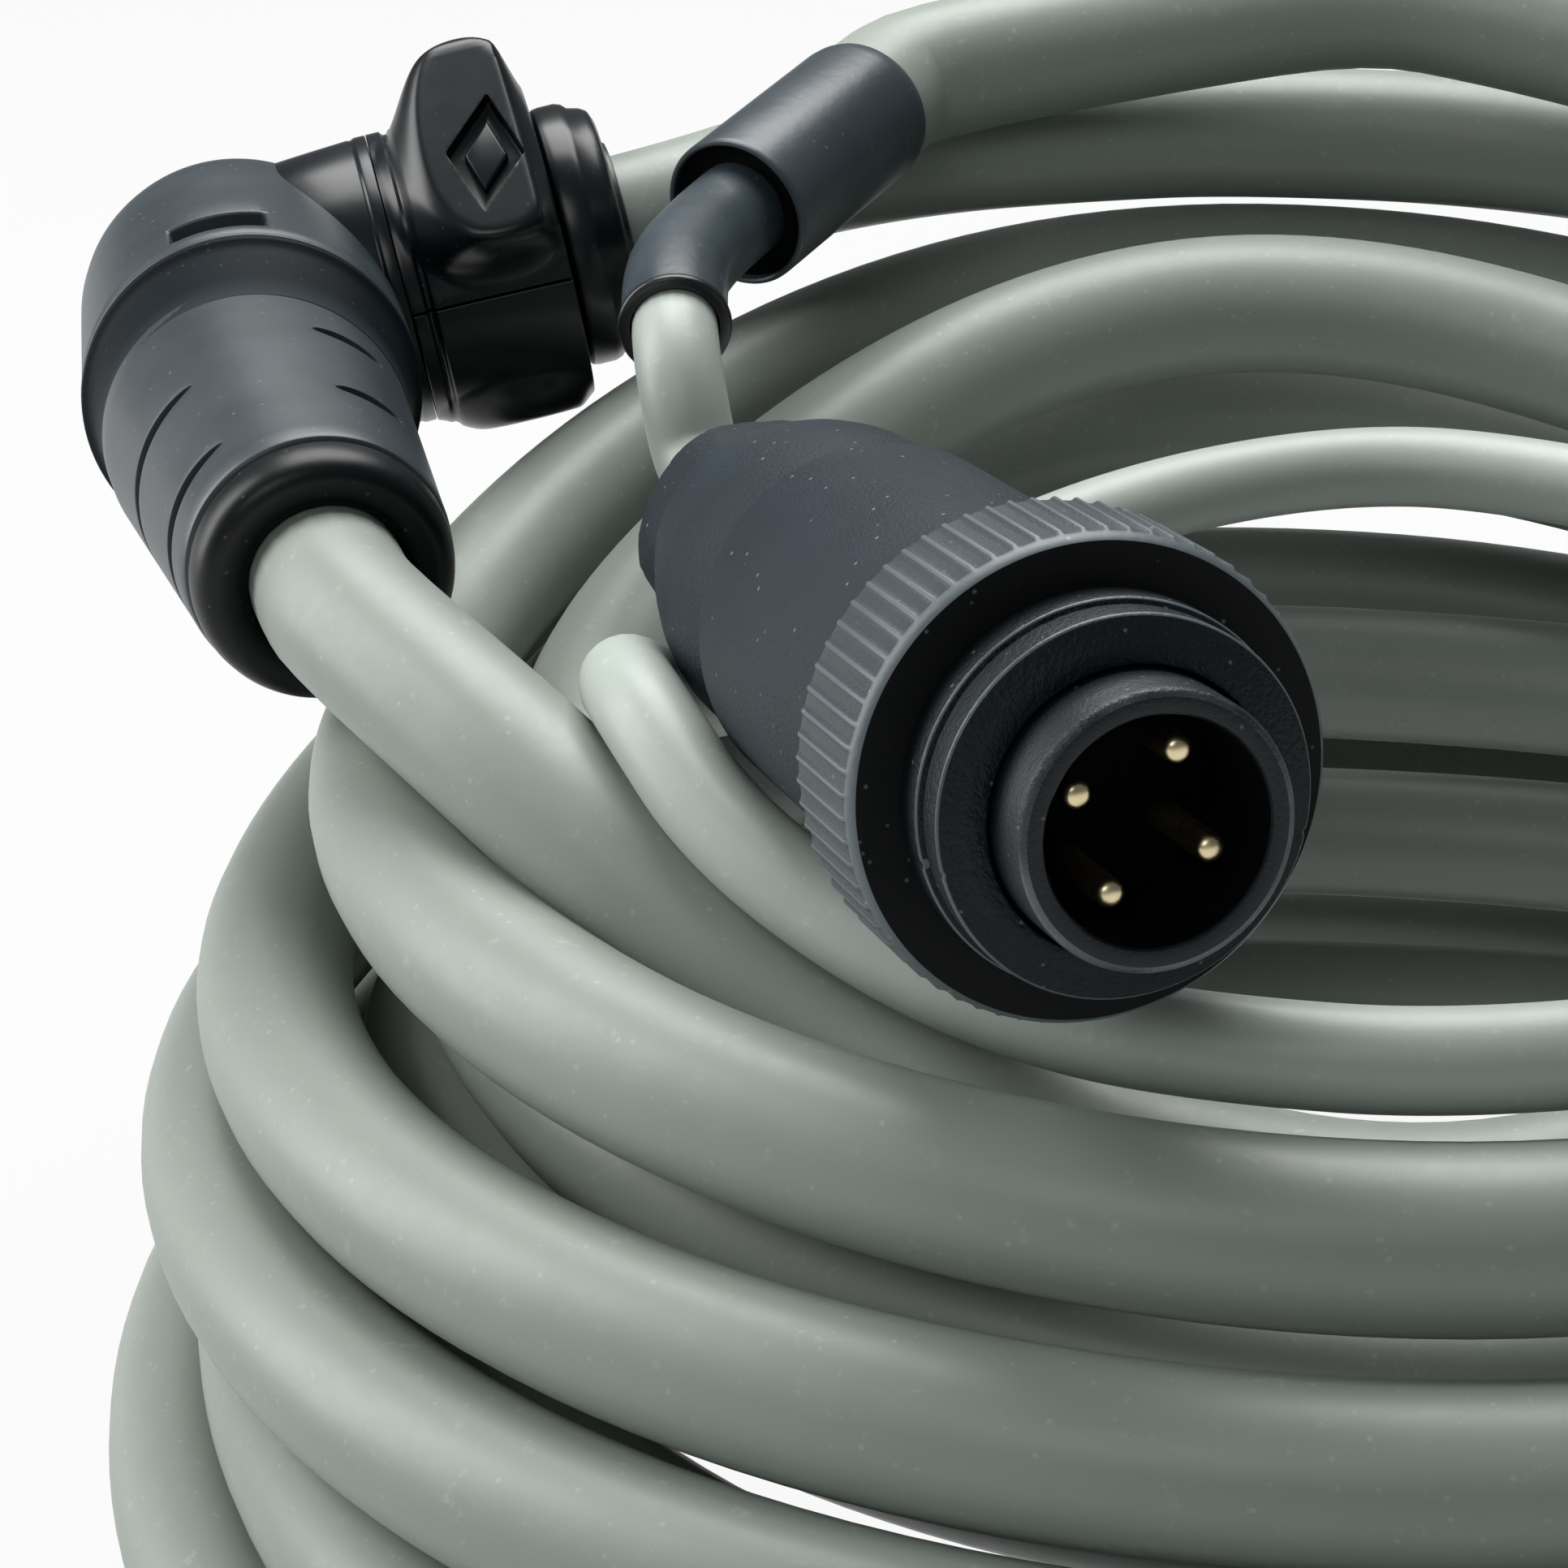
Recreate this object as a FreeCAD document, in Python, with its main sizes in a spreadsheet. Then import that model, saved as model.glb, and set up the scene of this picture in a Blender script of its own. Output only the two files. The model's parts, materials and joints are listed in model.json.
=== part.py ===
import FreeCAD, Part
import math
import os
import Sketcher
from FreeCAD import Placement, Rotation, Vector

# Coiled cable set: a right-angle plug locked into the cord's own socket, a thick grey
# cable piled in loops, a reducing sleeve, and a thin tail with a round four-pin plug.
# Millimetres, +Z up, floor at Z = 0, the plug's pins look towards -Y.

doc = FreeCAD.newDocument("coiled_cable_set")
sheet = doc.addObject("Spreadsheet::Sheet", "Sizes")

# Driving sizes: name, millimetres (degrees for angles, or a count), what it is
SIZES = [
    ("cable_dia", 11.5, "thick cable, outside"),
    ("thin_dia", 6.5, "thin cable, outside"),
    ("cord_sides", 8, "flats round a modelled cable"),
    ("inner_turns", 5, "turns of the inner column"),
    ("outer_turns", 5, "turns of the outer column"),
    ("foot_cut", 1.15, "depth of the flat where the pile stands"),
    ("snug", 0.05, "clearance of a part that is fitted or turns in a bore"),
    ("slack", 0.3, "gap between parts that move past each other"),
    ("ring_radius", 14.0, "coupling ring, plain front lip"),
    ("knurl_radius", 15.0, "coupling ring over its ridges"),
    ("ring_width", 9.8, "coupling ring, length"),
    ("lip_width", 1.5, "plain lip and inner shoulder of the ring"),
    ("flute_count", 44, "flutes round the ring"),
    ("flute_width", 1.9, "width of one flute"),
    ("flute_depth", 0.45, "depth of one flute"),
    ("spigot_radius", 11.1, "body under the ring"),
    ("barrel_radius", 12.1, "body behind the ring"),
    ("barrel_length", 30.6, "straight part of the body"),
    ("rear_radius", 11.5, "body behind the barrel's rounded edge"),
    ("rear_length", 9.3, "that part of the body, up to its cone"),
    ("taper_length", 10.0, "cone of the body down to the nut"),
    ("waist_radius", 9.2, "body at the nut"),
    ("body_bore", 8.4, "inside of the body"),
    ("nut_radius", 8.9, "gland nut over its rounded corners"),
    ("nut_length", 14.0, "gland nut, length"),
    ("nut_grip", 6.2, "hexagonal part of the nut"),
    ("nut_wall", 3.3, "gland nut wall"),
    ("nut_tip", 5.6, "nut where the cable enters"),
    ("collar_radius", 10.6, "stepped collar, widest step"),
    ("collar_length", 5.0, "stepped collar in front of the ring"),
    ("collar_step", 0.85, "drop of each step"),
    ("shroud_radius", 8.15, "tube round the pins, where the collar sits on it"),
    ("shroud_front", 7.95, "tube round the pins, free part in front"),
    ("shroud_bore", 6.6, "tube round the pins, inside"),
    ("shroud_length", 10.8, "tube in front of the ring"),
    ("pin_dia", 1.5, "contact pin"),
    ("pin_circle", 8.8, "circle of the pins"),
    ("pin_count", 4, "contact pins"),
    ("pin_setback", 2.6, "pin tips behind the rim of the tube"),
    ("insert_face", 1.0, "face of the insulator in front of the ring face"),
    ("sleeve_wall", 0.45, "reducing sleeve, wall over the thick cable"),
    ("sleeve_length", 21.4, "reducing sleeve, length"),
    ("core_length", 8.2, "solid core of the reducing sleeve"),
    ("core_setback", 0.8, "core behind the near rim"),
    ("tail_wall", 0.8, "tail sleeve, wall over the thin cable"),
    ("housing_radius", 13.4, "round back of the elbow"),
    ("housing_length", 20.0, "elbow corner to the band"),
    ("rim_radius", 13.7, "elbow at the band"),
    ("band_length", 10.0, "smooth tapered band"),
    ("band_end", 12.1, "band at the boot"),
    ("boot_length", 23.1, "slotted boot"),
    ("boot_heel", 2.5, "boot behind the corner of its axis"),
    ("boot_start", 12.0, "boot at the band"),
    ("boot_end", 10.2, "boot at the lip"),
    ("slot_width", 0.9, "flex slot"),
    ("slot_depth", 1.0, "flex slot, depth"),
    ("slot_span", 66.0, "flex slot, angle"),
    ("slot_count", 3, "flex slots in a row"),
    ("lip_wall", 3.95, "soft lip over the thick cable"),
    ("lip_length", 7.5, "soft lip, length"),
    ("seat_depth", 4.0, "cable seat inside the boot"),
    ("neck_radius", 9.9, "neck of the elbow"),
    ("neck_start", 6.0, "elbow corner to the seat of the neck"),
    ("neck_length", 27.0, "elbow corner to the end of the neck"),
    ("neck_bore", 8.0, "inside of the neck"),
    ("neck_depth", 10.0, "depth of that bore"),
    ("neck_shoulder", 13.8, "shoulder on the neck, from the corner"),
    ("shoulder_radius", 12.2, "shoulder on the neck"),
    ("lock_radius", 12.0, "locking collar, plain part"),
    ("flange_radius", 13.0, "locking collar, end flange"),
    ("flange_width", 2.2, "locking collar, flange width"),
    ("lug_face", 15.8, "flat face of the upper lug, from the neck's axis"),
    ("lug_long", 6.0, "upper lug, half length along the neck"),
    ("lug_wide", 9.5, "upper lug, half width round the neck"),
    ("keel_face", 14.6, "flat face of the lower lug, from the neck's axis"),
    ("keel_long", 3.4, "lower lug, half length along the neck"),
    ("keel_wide", 5.5, "lower lug, half width round the neck"),
    ("window_share", 0.56, "diamond window against the lug's face"),
    ("window_depth", 1.3, "diamond window, depth"),
    ("socket_radius", 11.2, "socket disc"),
    ("socket_length", 5.2, "socket outside the neck"),
    ("socket_spigot", 6.5, "socket inside the neck"),
    ("core_dia", 1.9, "insulated core of the thin cable"),
    ("core_bare", 15.0, "cores beyond the cut sheath"),
    ("ferrule_dia", 1.5, "crimped end sleeve"),
    ("ferrule_length", 8.0, "crimped end sleeve, length"),
]


class Size:
    """A number and the spreadsheet formula that gives it."""

    def __init__(self, value, text):
        self.value, self.text = float(value), text

    def join(self, other, sign, flip=False):
        other = other if isinstance(other, Size) else Size(other, "%g" % other)
        a, b = (other, self) if flip else (self, other)
        value = {"+": a.value + b.value, "-": a.value - b.value,
                 "*": a.value * b.value}.get(sign)
        if sign == "/":
            value = a.value / b.value
        return Size(value, "(%s %s %s)" % (a.text, sign, b.text))

    def __add__(self, other):
        return self.join(other, "+")

    def __radd__(self, other):
        return self.join(other, "+", True)

    def __sub__(self, other):
        return self.join(other, "-")

    def __rsub__(self, other):
        return self.join(other, "-", True)

    def __mul__(self, other):
        return self.join(other, "*")

    def __truediv__(self, other):
        return self.join(other, "/")

    def __neg__(self):
        return self.join(0, "-", True)


S = {}
for row, (name, value, note) in enumerate(SIZES, start=1):
    sheet.set("A%d" % row, name)
    sheet.set("B%d" % row, repr(value))
    sheet.set("C%d" % row, note)
    sheet.setAlias("B%d" % row, name)
    S[name] = Size(value, "Sizes." + name)
doc.recompute()


def num(size):
    return size.value if isinstance(size, Size) else float(size)


def bind(obj, prop, size):
    obj.setExpression(prop, size.text if isinstance(size, Size) else "%g" % size)


parts = []


def keep(obj, label, where):
    obj.Label = label
    obj.Placement = where
    parts.append(obj)
    return obj


# Place of the coil's middle, so that the box of the whole stands on the origin
CENTRE = Vector(-1.87, 6.95, 0)


def spot(x, y, z):
    return Vector(x, y, z) + CENTRE


def axes(origin, along, side=Vector(0, 0, 1)):
    """Placement whose Z runs along the given direction, X as near as can be to side."""
    return Placement(origin, Rotation(side, Vector(0, 0, 0), along, "ZXY"))


PLUG_AXIS = Vector(0.293, -0.950, 0.096)
PLUG = axes(spot(-22.6, -68.6, 79.2), PLUG_AXIS)
CORNER = spot(-86.3, 54.6, 72.3)
HEAD_AXIS = Vector(0.168, -0.984, -0.06)
BOOT_AXIS = Vector(0.278, -0.958, -0.059)
NECK_AXIS = Vector(0.965, 0.155, 0.205)
HEAD = axes(CORNER, HEAD_AXIS, NECK_AXIS)
NECK = axes(CORNER, NECK_AXIS)
BOOT = axes(HEAD.multVec(Vector(0, 0, num(S["housing_length"] + S["band_length"]))),
            BOOT_AXIS, NECK_AXIS)
JOINT_AXIS = Vector(0.498, 0.842, 0.206)
JOINT = axes(spot(-43.9, 38.4, 85.4), JOINT_AXIS)
SPLICE_AXIS = Vector(-0.121, 0.993, 0.0)
SPLICE = axes(spot(89.8, 1.0, 72.0), SPLICE_AXIS)


def origin_plane(body, role):
    return [f for f in body.Origin.OriginFeatures if f.Role == role][0]


def outline(body, points, role="XZ_Plane", offset=None):
    """Closed sketch through points whose coordinates are sizes of the sheet."""
    sketch = body.newObject("Sketcher::SketchObject", "Outline")
    sketch.AttachmentSupport = [(origin_plane(body, role), "")]
    sketch.MapMode = "FlatFace"
    if offset is not None:
        sketch.AttachmentOffset = offset
    flat = [Vector(num(a), num(b), 0) for a, b in points]
    for i, p in enumerate(flat):
        sketch.addGeometry(Part.LineSegment(p, flat[(i + 1) % len(flat)]), False)
    for i in range(len(flat)):
        sketch.addConstraint(
            Sketcher.Constraint("Coincident", i, 2, (i + 1) % len(flat), 1))
    for i, pair in enumerate(points):
        for kind, size in zip(("DistanceX", "DistanceY"), pair):
            if not isinstance(size, Size) and abs(size) < 1e-9:
                axis = -2 if kind == "DistanceX" else -1
                sketch.addConstraint(Sketcher.Constraint("PointOnObject", i, 1, axis))
                continue
            k = sketch.addConstraint(Sketcher.Constraint(kind, -1, 1, i, 1, num(size)))
            if isinstance(size, Size):
                sketch.setExpression("Constraints[%d]" % k, size.text)
    return sketch


def new_body(label, where):
    body = doc.addObject("PartDesign::Body", label)
    return keep(body, label, where)


def turned(label, where, points, angle=360.0, start=0.0):
    """Body of revolution about its own Z through (radius, height) points."""
    body = new_body(label, where)
    turn = Placement(Vector(0, 0, 0), Rotation(Vector(0, 1, 0), start))
    sketch = outline(body, points, offset=turn if start else None)
    feature = body.newObject("PartDesign::Revolution", "Turned")
    feature.Profile = sketch
    feature.ReferenceAxis = (sketch, ["V_Axis"])
    feature.Angle = angle
    doc.recompute()
    return body


def less(body, feature, before):
    """The cut just made took something away."""
    doc.recompute()
    if body.Shape.Volume >= before - 1e-3:
        raise RuntimeError(body.Label + ": a cut missed")
    return feature


def repeated(body, features, count, angle=360.0):
    pattern = body.newObject("PartDesign::PolarPattern", "Round")
    pattern.Originals = features
    pattern.Axis = (origin_plane(body, "Z_Axis"), [""])
    pattern.Angle = angle
    bind(pattern, "Occurrences", count)
    body.Tip = pattern
    doc.recompute()
    return pattern


def bored(body, radius, depth, x=0.0, y=0.0):
    """Round hole from the body's XY plane, off centre by x and y."""
    sketch = body.newObject("Sketcher::SketchObject", "Bore")
    sketch.AttachmentSupport = [(origin_plane(body, "XY_Plane"), "")]
    sketch.MapMode = "FlatFace"
    sketch.addGeometry(Part.Circle(Vector(num(x), num(y), 0), Vector(0, 0, 1), num(radius)))
    k = sketch.addConstraint(Sketcher.Constraint("Radius", 0, num(radius)))
    bind(sketch, "Constraints[%d]" % k, radius)
    for kind, size in (("DistanceX", x), ("DistanceY", y)):
        if abs(num(size)) < 1e-9:
            axis = -2 if kind == "DistanceX" else -1
            sketch.addConstraint(Sketcher.Constraint("PointOnObject", 0, 3, axis))
        else:
            k = sketch.addConstraint(Sketcher.Constraint(kind, -1, 1, 0, 3, num(size)))
            if isinstance(size, Size):
                bind(sketch, "Constraints[%d]" % k, size)
    before = body.Shape.Volume
    cut = body.newObject("PartDesign::Pocket", "Drilled")
    cut.Profile = sketch
    cut.Midplane = True
    bind(cut, "Length", depth)
    return less(body, cut, before)


# Four-pin plug: heights are measured from the front face of its coupling ring
front = S["collar_length"]
shoulder = S["lip_width"] + S["slack"] + 0.1
spigot_end = S["ring_width"] + S["slack"]
barrel_end = spigot_end + S["barrel_length"]
rear_end = barrel_end + S["rear_length"]
waist = rear_end + S["taper_length"]

# Rear body: spigot under the ring, barrel, a step, then the cone that meets the nut
plug_body = turned("plug_body", PLUG, [
    (S["body_bore"], -shoulder), (S["spigot_radius"], -shoulder),
    (S["spigot_radius"], -spigot_end), (S["barrel_radius"], -spigot_end),
    (S["barrel_radius"], -barrel_end + 0.5), (S["rear_radius"], -barrel_end),
    (S["rear_radius"], -rear_end), (S["waist_radius"], -waist),
    (S["body_bore"] - 2.2, -waist), (S["body_bore"] - 2.2, -waist + 2.0),
    (S["body_bore"], -waist + 4.0)])

# Coupling ring: bore on the spigot, inner shoulder in front, flutes round the outside
plug_ring = turned("plug_coupling_ring", PLUG, [
    (S["collar_radius"] + S["snug"] * 3, 0.0), (S["ring_radius"] - 0.3, 0.0),
    (S["ring_radius"], -0.3), (S["ring_radius"], -S["lip_width"]),
    (S["knurl_radius"], -S["lip_width"]), (S["knurl_radius"], -S["ring_width"]),
    (S["spigot_radius"] + S["snug"], -S["ring_width"]),
    (S["spigot_radius"] + S["snug"], -S["lip_width"]),
    (S["collar_radius"] + S["snug"] * 3, -S["lip_width"])])
flute_end = S["knurl_radius"] - S["flute_depth"]
flute = outline(plug_ring, [
    (flute_end, -S["flute_width"] * 0.4), (S["knurl_radius"] + 0.5, -S["flute_width"] / 2),
    (S["knurl_radius"] + 0.5, S["flute_width"] / 2), (flute_end, S["flute_width"] * 0.4)],
    role="XY_Plane", offset=Placement(Vector(0, 0, -num(S["lip_width"])), Rotation()))
volume = plug_ring.Shape.Volume
flute_cut = plug_ring.newObject("PartDesign::Pocket", "Flute")
flute_cut.Profile = flute
flute_cut.Reversed = False
bind(flute_cut, "Length", S["ring_width"] + 1.0)
less(plug_ring, flute_cut, volume)
repeated(plug_ring, [flute_cut], S["flute_count"])

# Stepped collar, the tube round the pins, and the ring that holds them from behind; in
# front of the collar the tube is a little thinner, which is what the socket slides over
step = S["collar_step"]
collar = S["collar_radius"]
plug_collar = turned("plug_collar", PLUG, [
    (S["shroud_radius"] + S["snug"], -shoulder), (collar, -shoulder), (collar, front * 0.44),
    (collar - step, front * 0.44), (collar - step, front * 0.74),
    (collar - step - step, front * 0.74), (collar - step - step, front),
    (S["shroud_radius"] + 0.45, front), (S["shroud_radius"] + 0.45, front * 0.3),
    (S["shroud_radius"] + S["snug"], front * 0.3)])
plug_shroud = turned("plug_shroud", PLUG, [
    (S["shroud_bore"], -shoulder), (S["shroud_radius"], -shoulder),
    (S["shroud_radius"], front + 0.4), (S["shroud_front"], front + 0.4),
    (S["shroud_front"], S["shroud_length"] - 0.4),
    (S["shroud_front"] - 0.4, S["shroud_length"]), (S["shroud_bore"], S["shroud_length"])])
plug_clip = turned("plug_clip", PLUG, [
    (S["shroud_bore"] - 0.8, -shoulder - 1.4), (S["body_bore"] - S["snug"], -shoulder - 1.4),
    (S["body_bore"] - S["snug"], -shoulder), (S["shroud_bore"] - 0.8, -shoulder)])

# Insulator disc with a hole for each pin
plug_insulator = turned("plug_insulator", PLUG, [
    (0.0, -shoulder), (S["shroud_bore"] - S["snug"], -shoulder),
    (S["shroud_bore"] - S["snug"], S["insert_face"]), (0.0, S["insert_face"])])
PIN_TURN = 63.0
pin_reach = S["pin_circle"] / 2
hole = bored(plug_insulator, S["pin_dia"] / 2 + S["snug"], (S["insert_face"] + shoulder) * 3,
             x=pin_reach)
repeated(plug_insulator, [hole], S["pin_count"])
plug_insulator.Placement = PLUG.multiply(
    Placement(Vector(0, 0, 0), Rotation(Vector(0, 0, 1), PIN_TURN)))

# Contact pins with domed tips and solder tails
pin_top = S["shroud_length"] - S["pin_setback"]
pin_tail = shoulder + 4.5
for i in range(int(num(S["pin_count"]))):
    around = Rotation(Vector(0, 0, 1), PIN_TURN + i * 360.0 / num(S["pin_count"]))
    place = PLUG.multiply(Placement(around.multVec(Vector(num(pin_reach), 0, 0)), around))
    half = S["pin_dia"] / 2
    turned("plug_pin_%d" % (i + 1), place, [
        (0.0, -pin_tail), (half * 1.3, -pin_tail), (half * 1.3, -shoulder - S["snug"]),
        (half, -shoulder - S["snug"]), (half, pin_top - half * 0.6),
        (half * 0.5, pin_top), (0.0, pin_top)])

# Gland nut: six flats with rounded corners, a seat for the seal and the cable's way in
nut_end = waist + S["slack"] + S["nut_length"]
nut_start = waist
plug_nut = turned("plug_nut", PLUG, [
    (S["thin_dia"] / 2 + 0.35, -nut_end), (S["nut_tip"], -nut_end),
    (S["nut_radius"] - 0.5, -nut_start - S["nut_grip"] - 0.4),
    (S["nut_radius"], -nut_start - S["nut_grip"]),
    (S["nut_radius"], -nut_start), (S["nut_radius"] - S["nut_wall"], -nut_start),
    (S["nut_radius"] - S["nut_wall"], -nut_end + 4.5),
    (S["thin_dia"] / 2 + 0.35, -nut_end + 4.5)])
flat_at = S["nut_radius"] * 0.93
wide = S["nut_radius"] * 2
side_cut = outline(plug_nut, [
    (flat_at, -wide), (wide, -wide), (wide, wide), (flat_at, wide)],
    role="XY_Plane", offset=Placement(Vector(0, 0, -num(nut_end) - 1), Rotation()))
volume = plug_nut.Shape.Volume
flat_cut = plug_nut.newObject("PartDesign::Pocket", "Flat")
flat_cut.Profile = side_cut
flat_cut.Reversed = True
bind(flat_cut, "Length", S["nut_length"] - 1.0)
less(plug_nut, flat_cut, volume)
repeated(plug_nut, [flat_cut], Size(6, "6"))

# Seal in the nut, with the seat where the thin cable's sheath ends
seat = nut_end - 8.0
plug_seal = turned("plug_seal", PLUG, [
    (S["thin_dia"] / 2 + S["snug"], -nut_end + 4.5),
    (S["nut_radius"] - S["nut_wall"] - S["snug"], -nut_end + 4.5),
    (S["nut_radius"] - S["nut_wall"] - S["snug"], -nut_start - S["snug"]),
    (0.0, -nut_start - S["snug"]), (0.0, -seat), (S["thin_dia"] / 2 + S["snug"], -seat)])


# Reducing sleeves: one ends the coil at the plug's tail, one joins the socket's lead
# to the thin branch lead
def reducer(prefix, where):
    bore = S["cable_dia"] / 2 + S["snug"]
    outer = bore + S["sleeve_wall"]
    turned(prefix + "_sleeve", where, [
        (bore, 0.0), (outer, 0.0), (outer, S["sleeve_length"] - 0.4),
        (bore, S["sleeve_length"])])
    turned(prefix + "_core", where, [
        (0.0, S["core_setback"]), (bore - S["snug"], S["core_setback"]),
        (bore - S["snug"], S["core_setback"] + S["core_length"]),
        (0.0, S["core_setback"] + S["core_length"])])


reducer("junction", JOINT)
reducer("splice", SPLICE)

# Elbow of the right-angle plug: round back and straight leg, with a seat for the neck
# and a slot on top for the latch
back = doc.addObject("Part::Sphere", "RoundBack")
bind(back, "Radius", S["housing_radius"])
back.Placement = HEAD
leg = doc.addObject("Part::Cone", "Leg")
bind(leg, "Radius1", S["housing_radius"])
bind(leg, "Radius2", S["rim_radius"])
bind(leg, "Height", S["housing_length"])
leg.Placement = HEAD
solid = doc.addObject("Part::Fuse", "ElbowSolid")
solid.Base, solid.Tool = back, leg
latch = doc.addObject("Part::Box", "LatchSlot")
for side, size in (("Length", 7.6), ("Width", 4.0), ("Height", 3.2)):
    setattr(latch, side, size)
latch.Placement = HEAD.multiply(
    Placement(Vector(-6.4, num(S["housing_radius"]) - 2.2, 14.0), Rotation()))
seat_cut = doc.addObject("Part::Cylinder", "NeckSeat")
bind(seat_cut, "Radius", S["shoulder_radius"] + S["snug"])
bind(seat_cut, "Height", S["neck_length"])
seat_cut.Placement = NECK.multiply(Placement(Vector(0, 0, num(S["neck_start"])), Rotation()))
tools = doc.addObject("Part::MultiFuse", "ElbowCuts")
tools.Shapes = [latch, seat_cut]
elbow = doc.addObject("Part::Cut", "ElbowHousing")
elbow.Base = solid
elbow.Tool = tools
doc.recompute()
if elbow.Shape.Volume >= solid.Shape.Volume - 100:
    raise RuntimeError("elbow: a cut missed")
keep(elbow, "elbow_housing", Placement())

# Neck with its shoulder and the bore that takes the socket
turned("elbow_neck", NECK, [
    (0.0, S["neck_start"]), (S["shoulder_radius"], S["neck_start"]),
    (S["shoulder_radius"], S["neck_shoulder"]), (S["neck_radius"], S["neck_shoulder"]),
    (S["neck_radius"], S["neck_length"]), (S["neck_bore"], S["neck_length"]),
    (S["neck_bore"], S["neck_length"] - S["neck_depth"]),
    (0.0, S["neck_length"] - S["neck_depth"])])

# Smooth tapered band in line with the head
band_start = S["housing_length"]
band_stop = band_start + S["band_length"]
turned("elbow_band", HEAD, [
    (0.0, band_start), (S["rim_radius"], band_start), (S["band_end"], band_stop),
    (0.0, band_stop)])

# Slotted boot and soft lip, on an axis of their own that leans towards the cable; the
# boot's heel is cut off where the band ends
lip_at = S["boot_length"]
lip_tip = lip_at + S["lip_length"]
cable_seat = lip_at - S["seat_depth"]
lip_radius = S["cable_dia"] / 2 + S["lip_wall"]
boot = turned("elbow_boot_blank", BOOT, [
    (0.0, -S["boot_heel"]), (S["boot_start"], -S["boot_heel"]), (S["boot_start"], 0.0),
    (S["boot_end"], lip_at), (lip_radius - 1.2, lip_at), (lip_radius - 1.2, cable_seat),
    (0.0, cable_seat)])
for share in (0.26, 0.74):
    level = S["boot_length"] * share
    radius = S["boot_start"] - (S["boot_start"] - S["boot_end"]) * share
    turn = Placement(Vector(0, 0, 0), Rotation(Vector(0, 1, 0), 55.0))
    cut_line = outline(boot, [
        (radius - S["slot_depth"], level - S["slot_width"] / 2),
        (radius + 1.0, level - S["slot_width"] / 2),
        (radius + 1.0, level + S["slot_width"] / 2),
        (radius - S["slot_depth"], level + S["slot_width"] / 2)], offset=turn)
    volume = boot.Shape.Volume
    slot = boot.newObject("PartDesign::Groove", "FlexSlot")
    slot.Profile = cut_line
    slot.ReferenceAxis = (cut_line, ["V_Axis"])
    slot.Midplane = True
    bind(slot, "Angle", S["slot_span"])
    less(boot, slot, volume)
    repeated(boot, [slot], S["slot_count"])
parts.remove(boot)
heel = doc.addObject("Part::Cylinder", "BootHeel")
bind(heel, "Radius", S["boot_start"] + 4)
bind(heel, "Height", S["boot_heel"] + 4)
heel.Placement = HEAD.multiply(
    Placement(Vector(0, 0, num(band_stop - S["boot_heel"] - 4)), Rotation()))
trimmed = doc.addObject("Part::Cut", "TrimmedBoot")
trimmed.Base = boot
trimmed.Tool = heel
doc.recompute()
if trimmed.Shape.Volume >= boot.Shape.Volume - 10:
    raise RuntimeError("boot: the heel cut missed")
keep(trimmed, "elbow_boot", Placement())
turned("elbow_grommet", BOOT, [
    (S["cable_dia"] / 2 + S["snug"], cable_seat), (lip_radius - 1.2 - S["snug"], cable_seat),
    (lip_radius - 1.2 - S["snug"], lip_at), (lip_radius, lip_at),
    (lip_radius, lip_tip - 1.2), (lip_radius - 1.2, lip_tip),
    (S["cable_dia"] / 2 + S["snug"], lip_tip)])

# Locking collar in two shells that meet at a seam; it turns on the neck. The upper shell
# carries the large lug with the diamond window, the lower one a low keel at its end.
lock_start = S["neck_shoulder"] + S["slack"]
lock_end = S["neck_length"] - S["slack"]
flange_at = lock_end - S["flange_width"]
lock_bore = S["neck_radius"] + S["snug"]


def diamond(body, middle, long_half, wide_half, radius, turn):
    spin = Rotation(Vector(0, 1, 0), turn)
    lift = Placement(spin.multVec(Vector(0, 0, num(radius))), spin)
    return outline(body, [(0.0, middle - long_half), (wide_half, middle),
                          (0.0, middle + long_half), (-wide_half, middle)],
                   role="YZ_Plane", offset=lift)


for name, start, turn, face, long_half, wide_half, windowed in (
        ("elbow_lock_upper", 0.0, 122.0, S["lug_face"], S["lug_long"], S["lug_wide"], True),
        ("elbow_lock_lower", 180.0, 90.0, S["keel_face"], S["keel_long"], S["keel_wide"],
         False)):
    where = NECK.multiply(Placement(
        Vector(0, 0, 0), Rotation(Vector(0, 0, 1), start - 90.0 + 0.75)))
    shell = turned(name, where, [
        (lock_bore, lock_start), (S["lock_radius"], lock_start), (S["lock_radius"], flange_at),
        (S["flange_radius"], flange_at + 0.5), (S["flange_radius"], lock_end),
        (lock_bore, lock_end)], angle=178.5)
    middle = lock_end - long_half - 0.5
    root = lock_bore - 1.5
    lug = shell.newObject("PartDesign::Pad", "Lug")
    lug.Profile = diamond(shell, middle, long_half, wide_half, root, turn)
    bind(lug, "Length", face - root)
    doc.recompute()
    if windowed:
        volume = shell.Shape.Volume
        window = shell.newObject("PartDesign::Pocket", "Window")
        window.Profile = diamond(shell, middle, long_half * S["window_share"],
                                 wide_half * S["window_share"], face, turn)
        bind(window, "Length", S["window_depth"])
        less(shell, window, volume)
        island = shell.newObject("PartDesign::Pad", "Island")
        island.Profile = diamond(shell, middle, long_half * S["window_share"] * 0.55,
                                 wide_half * S["window_share"] * 0.55,
                                 face - S["window_depth"] - 0.2, turn)
        bind(island, "Length", S["window_depth"] * 0.6 + 0.2)
        doc.recompute()
    clear = outline(shell, [(0.0, lock_start - 1.0), (lock_bore, lock_start - 1.0),
                            (lock_bore, lock_end + 1.0), (0.0, lock_end + 1.0)])
    volume = shell.Shape.Volume
    reamed = shell.newObject("PartDesign::Groove", "Reamed")
    reamed.Profile = clear
    reamed.ReferenceAxis = (clear, ["V_Axis"])
    reamed.Angle = 360.0
    less(shell, reamed, volume)

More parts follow.
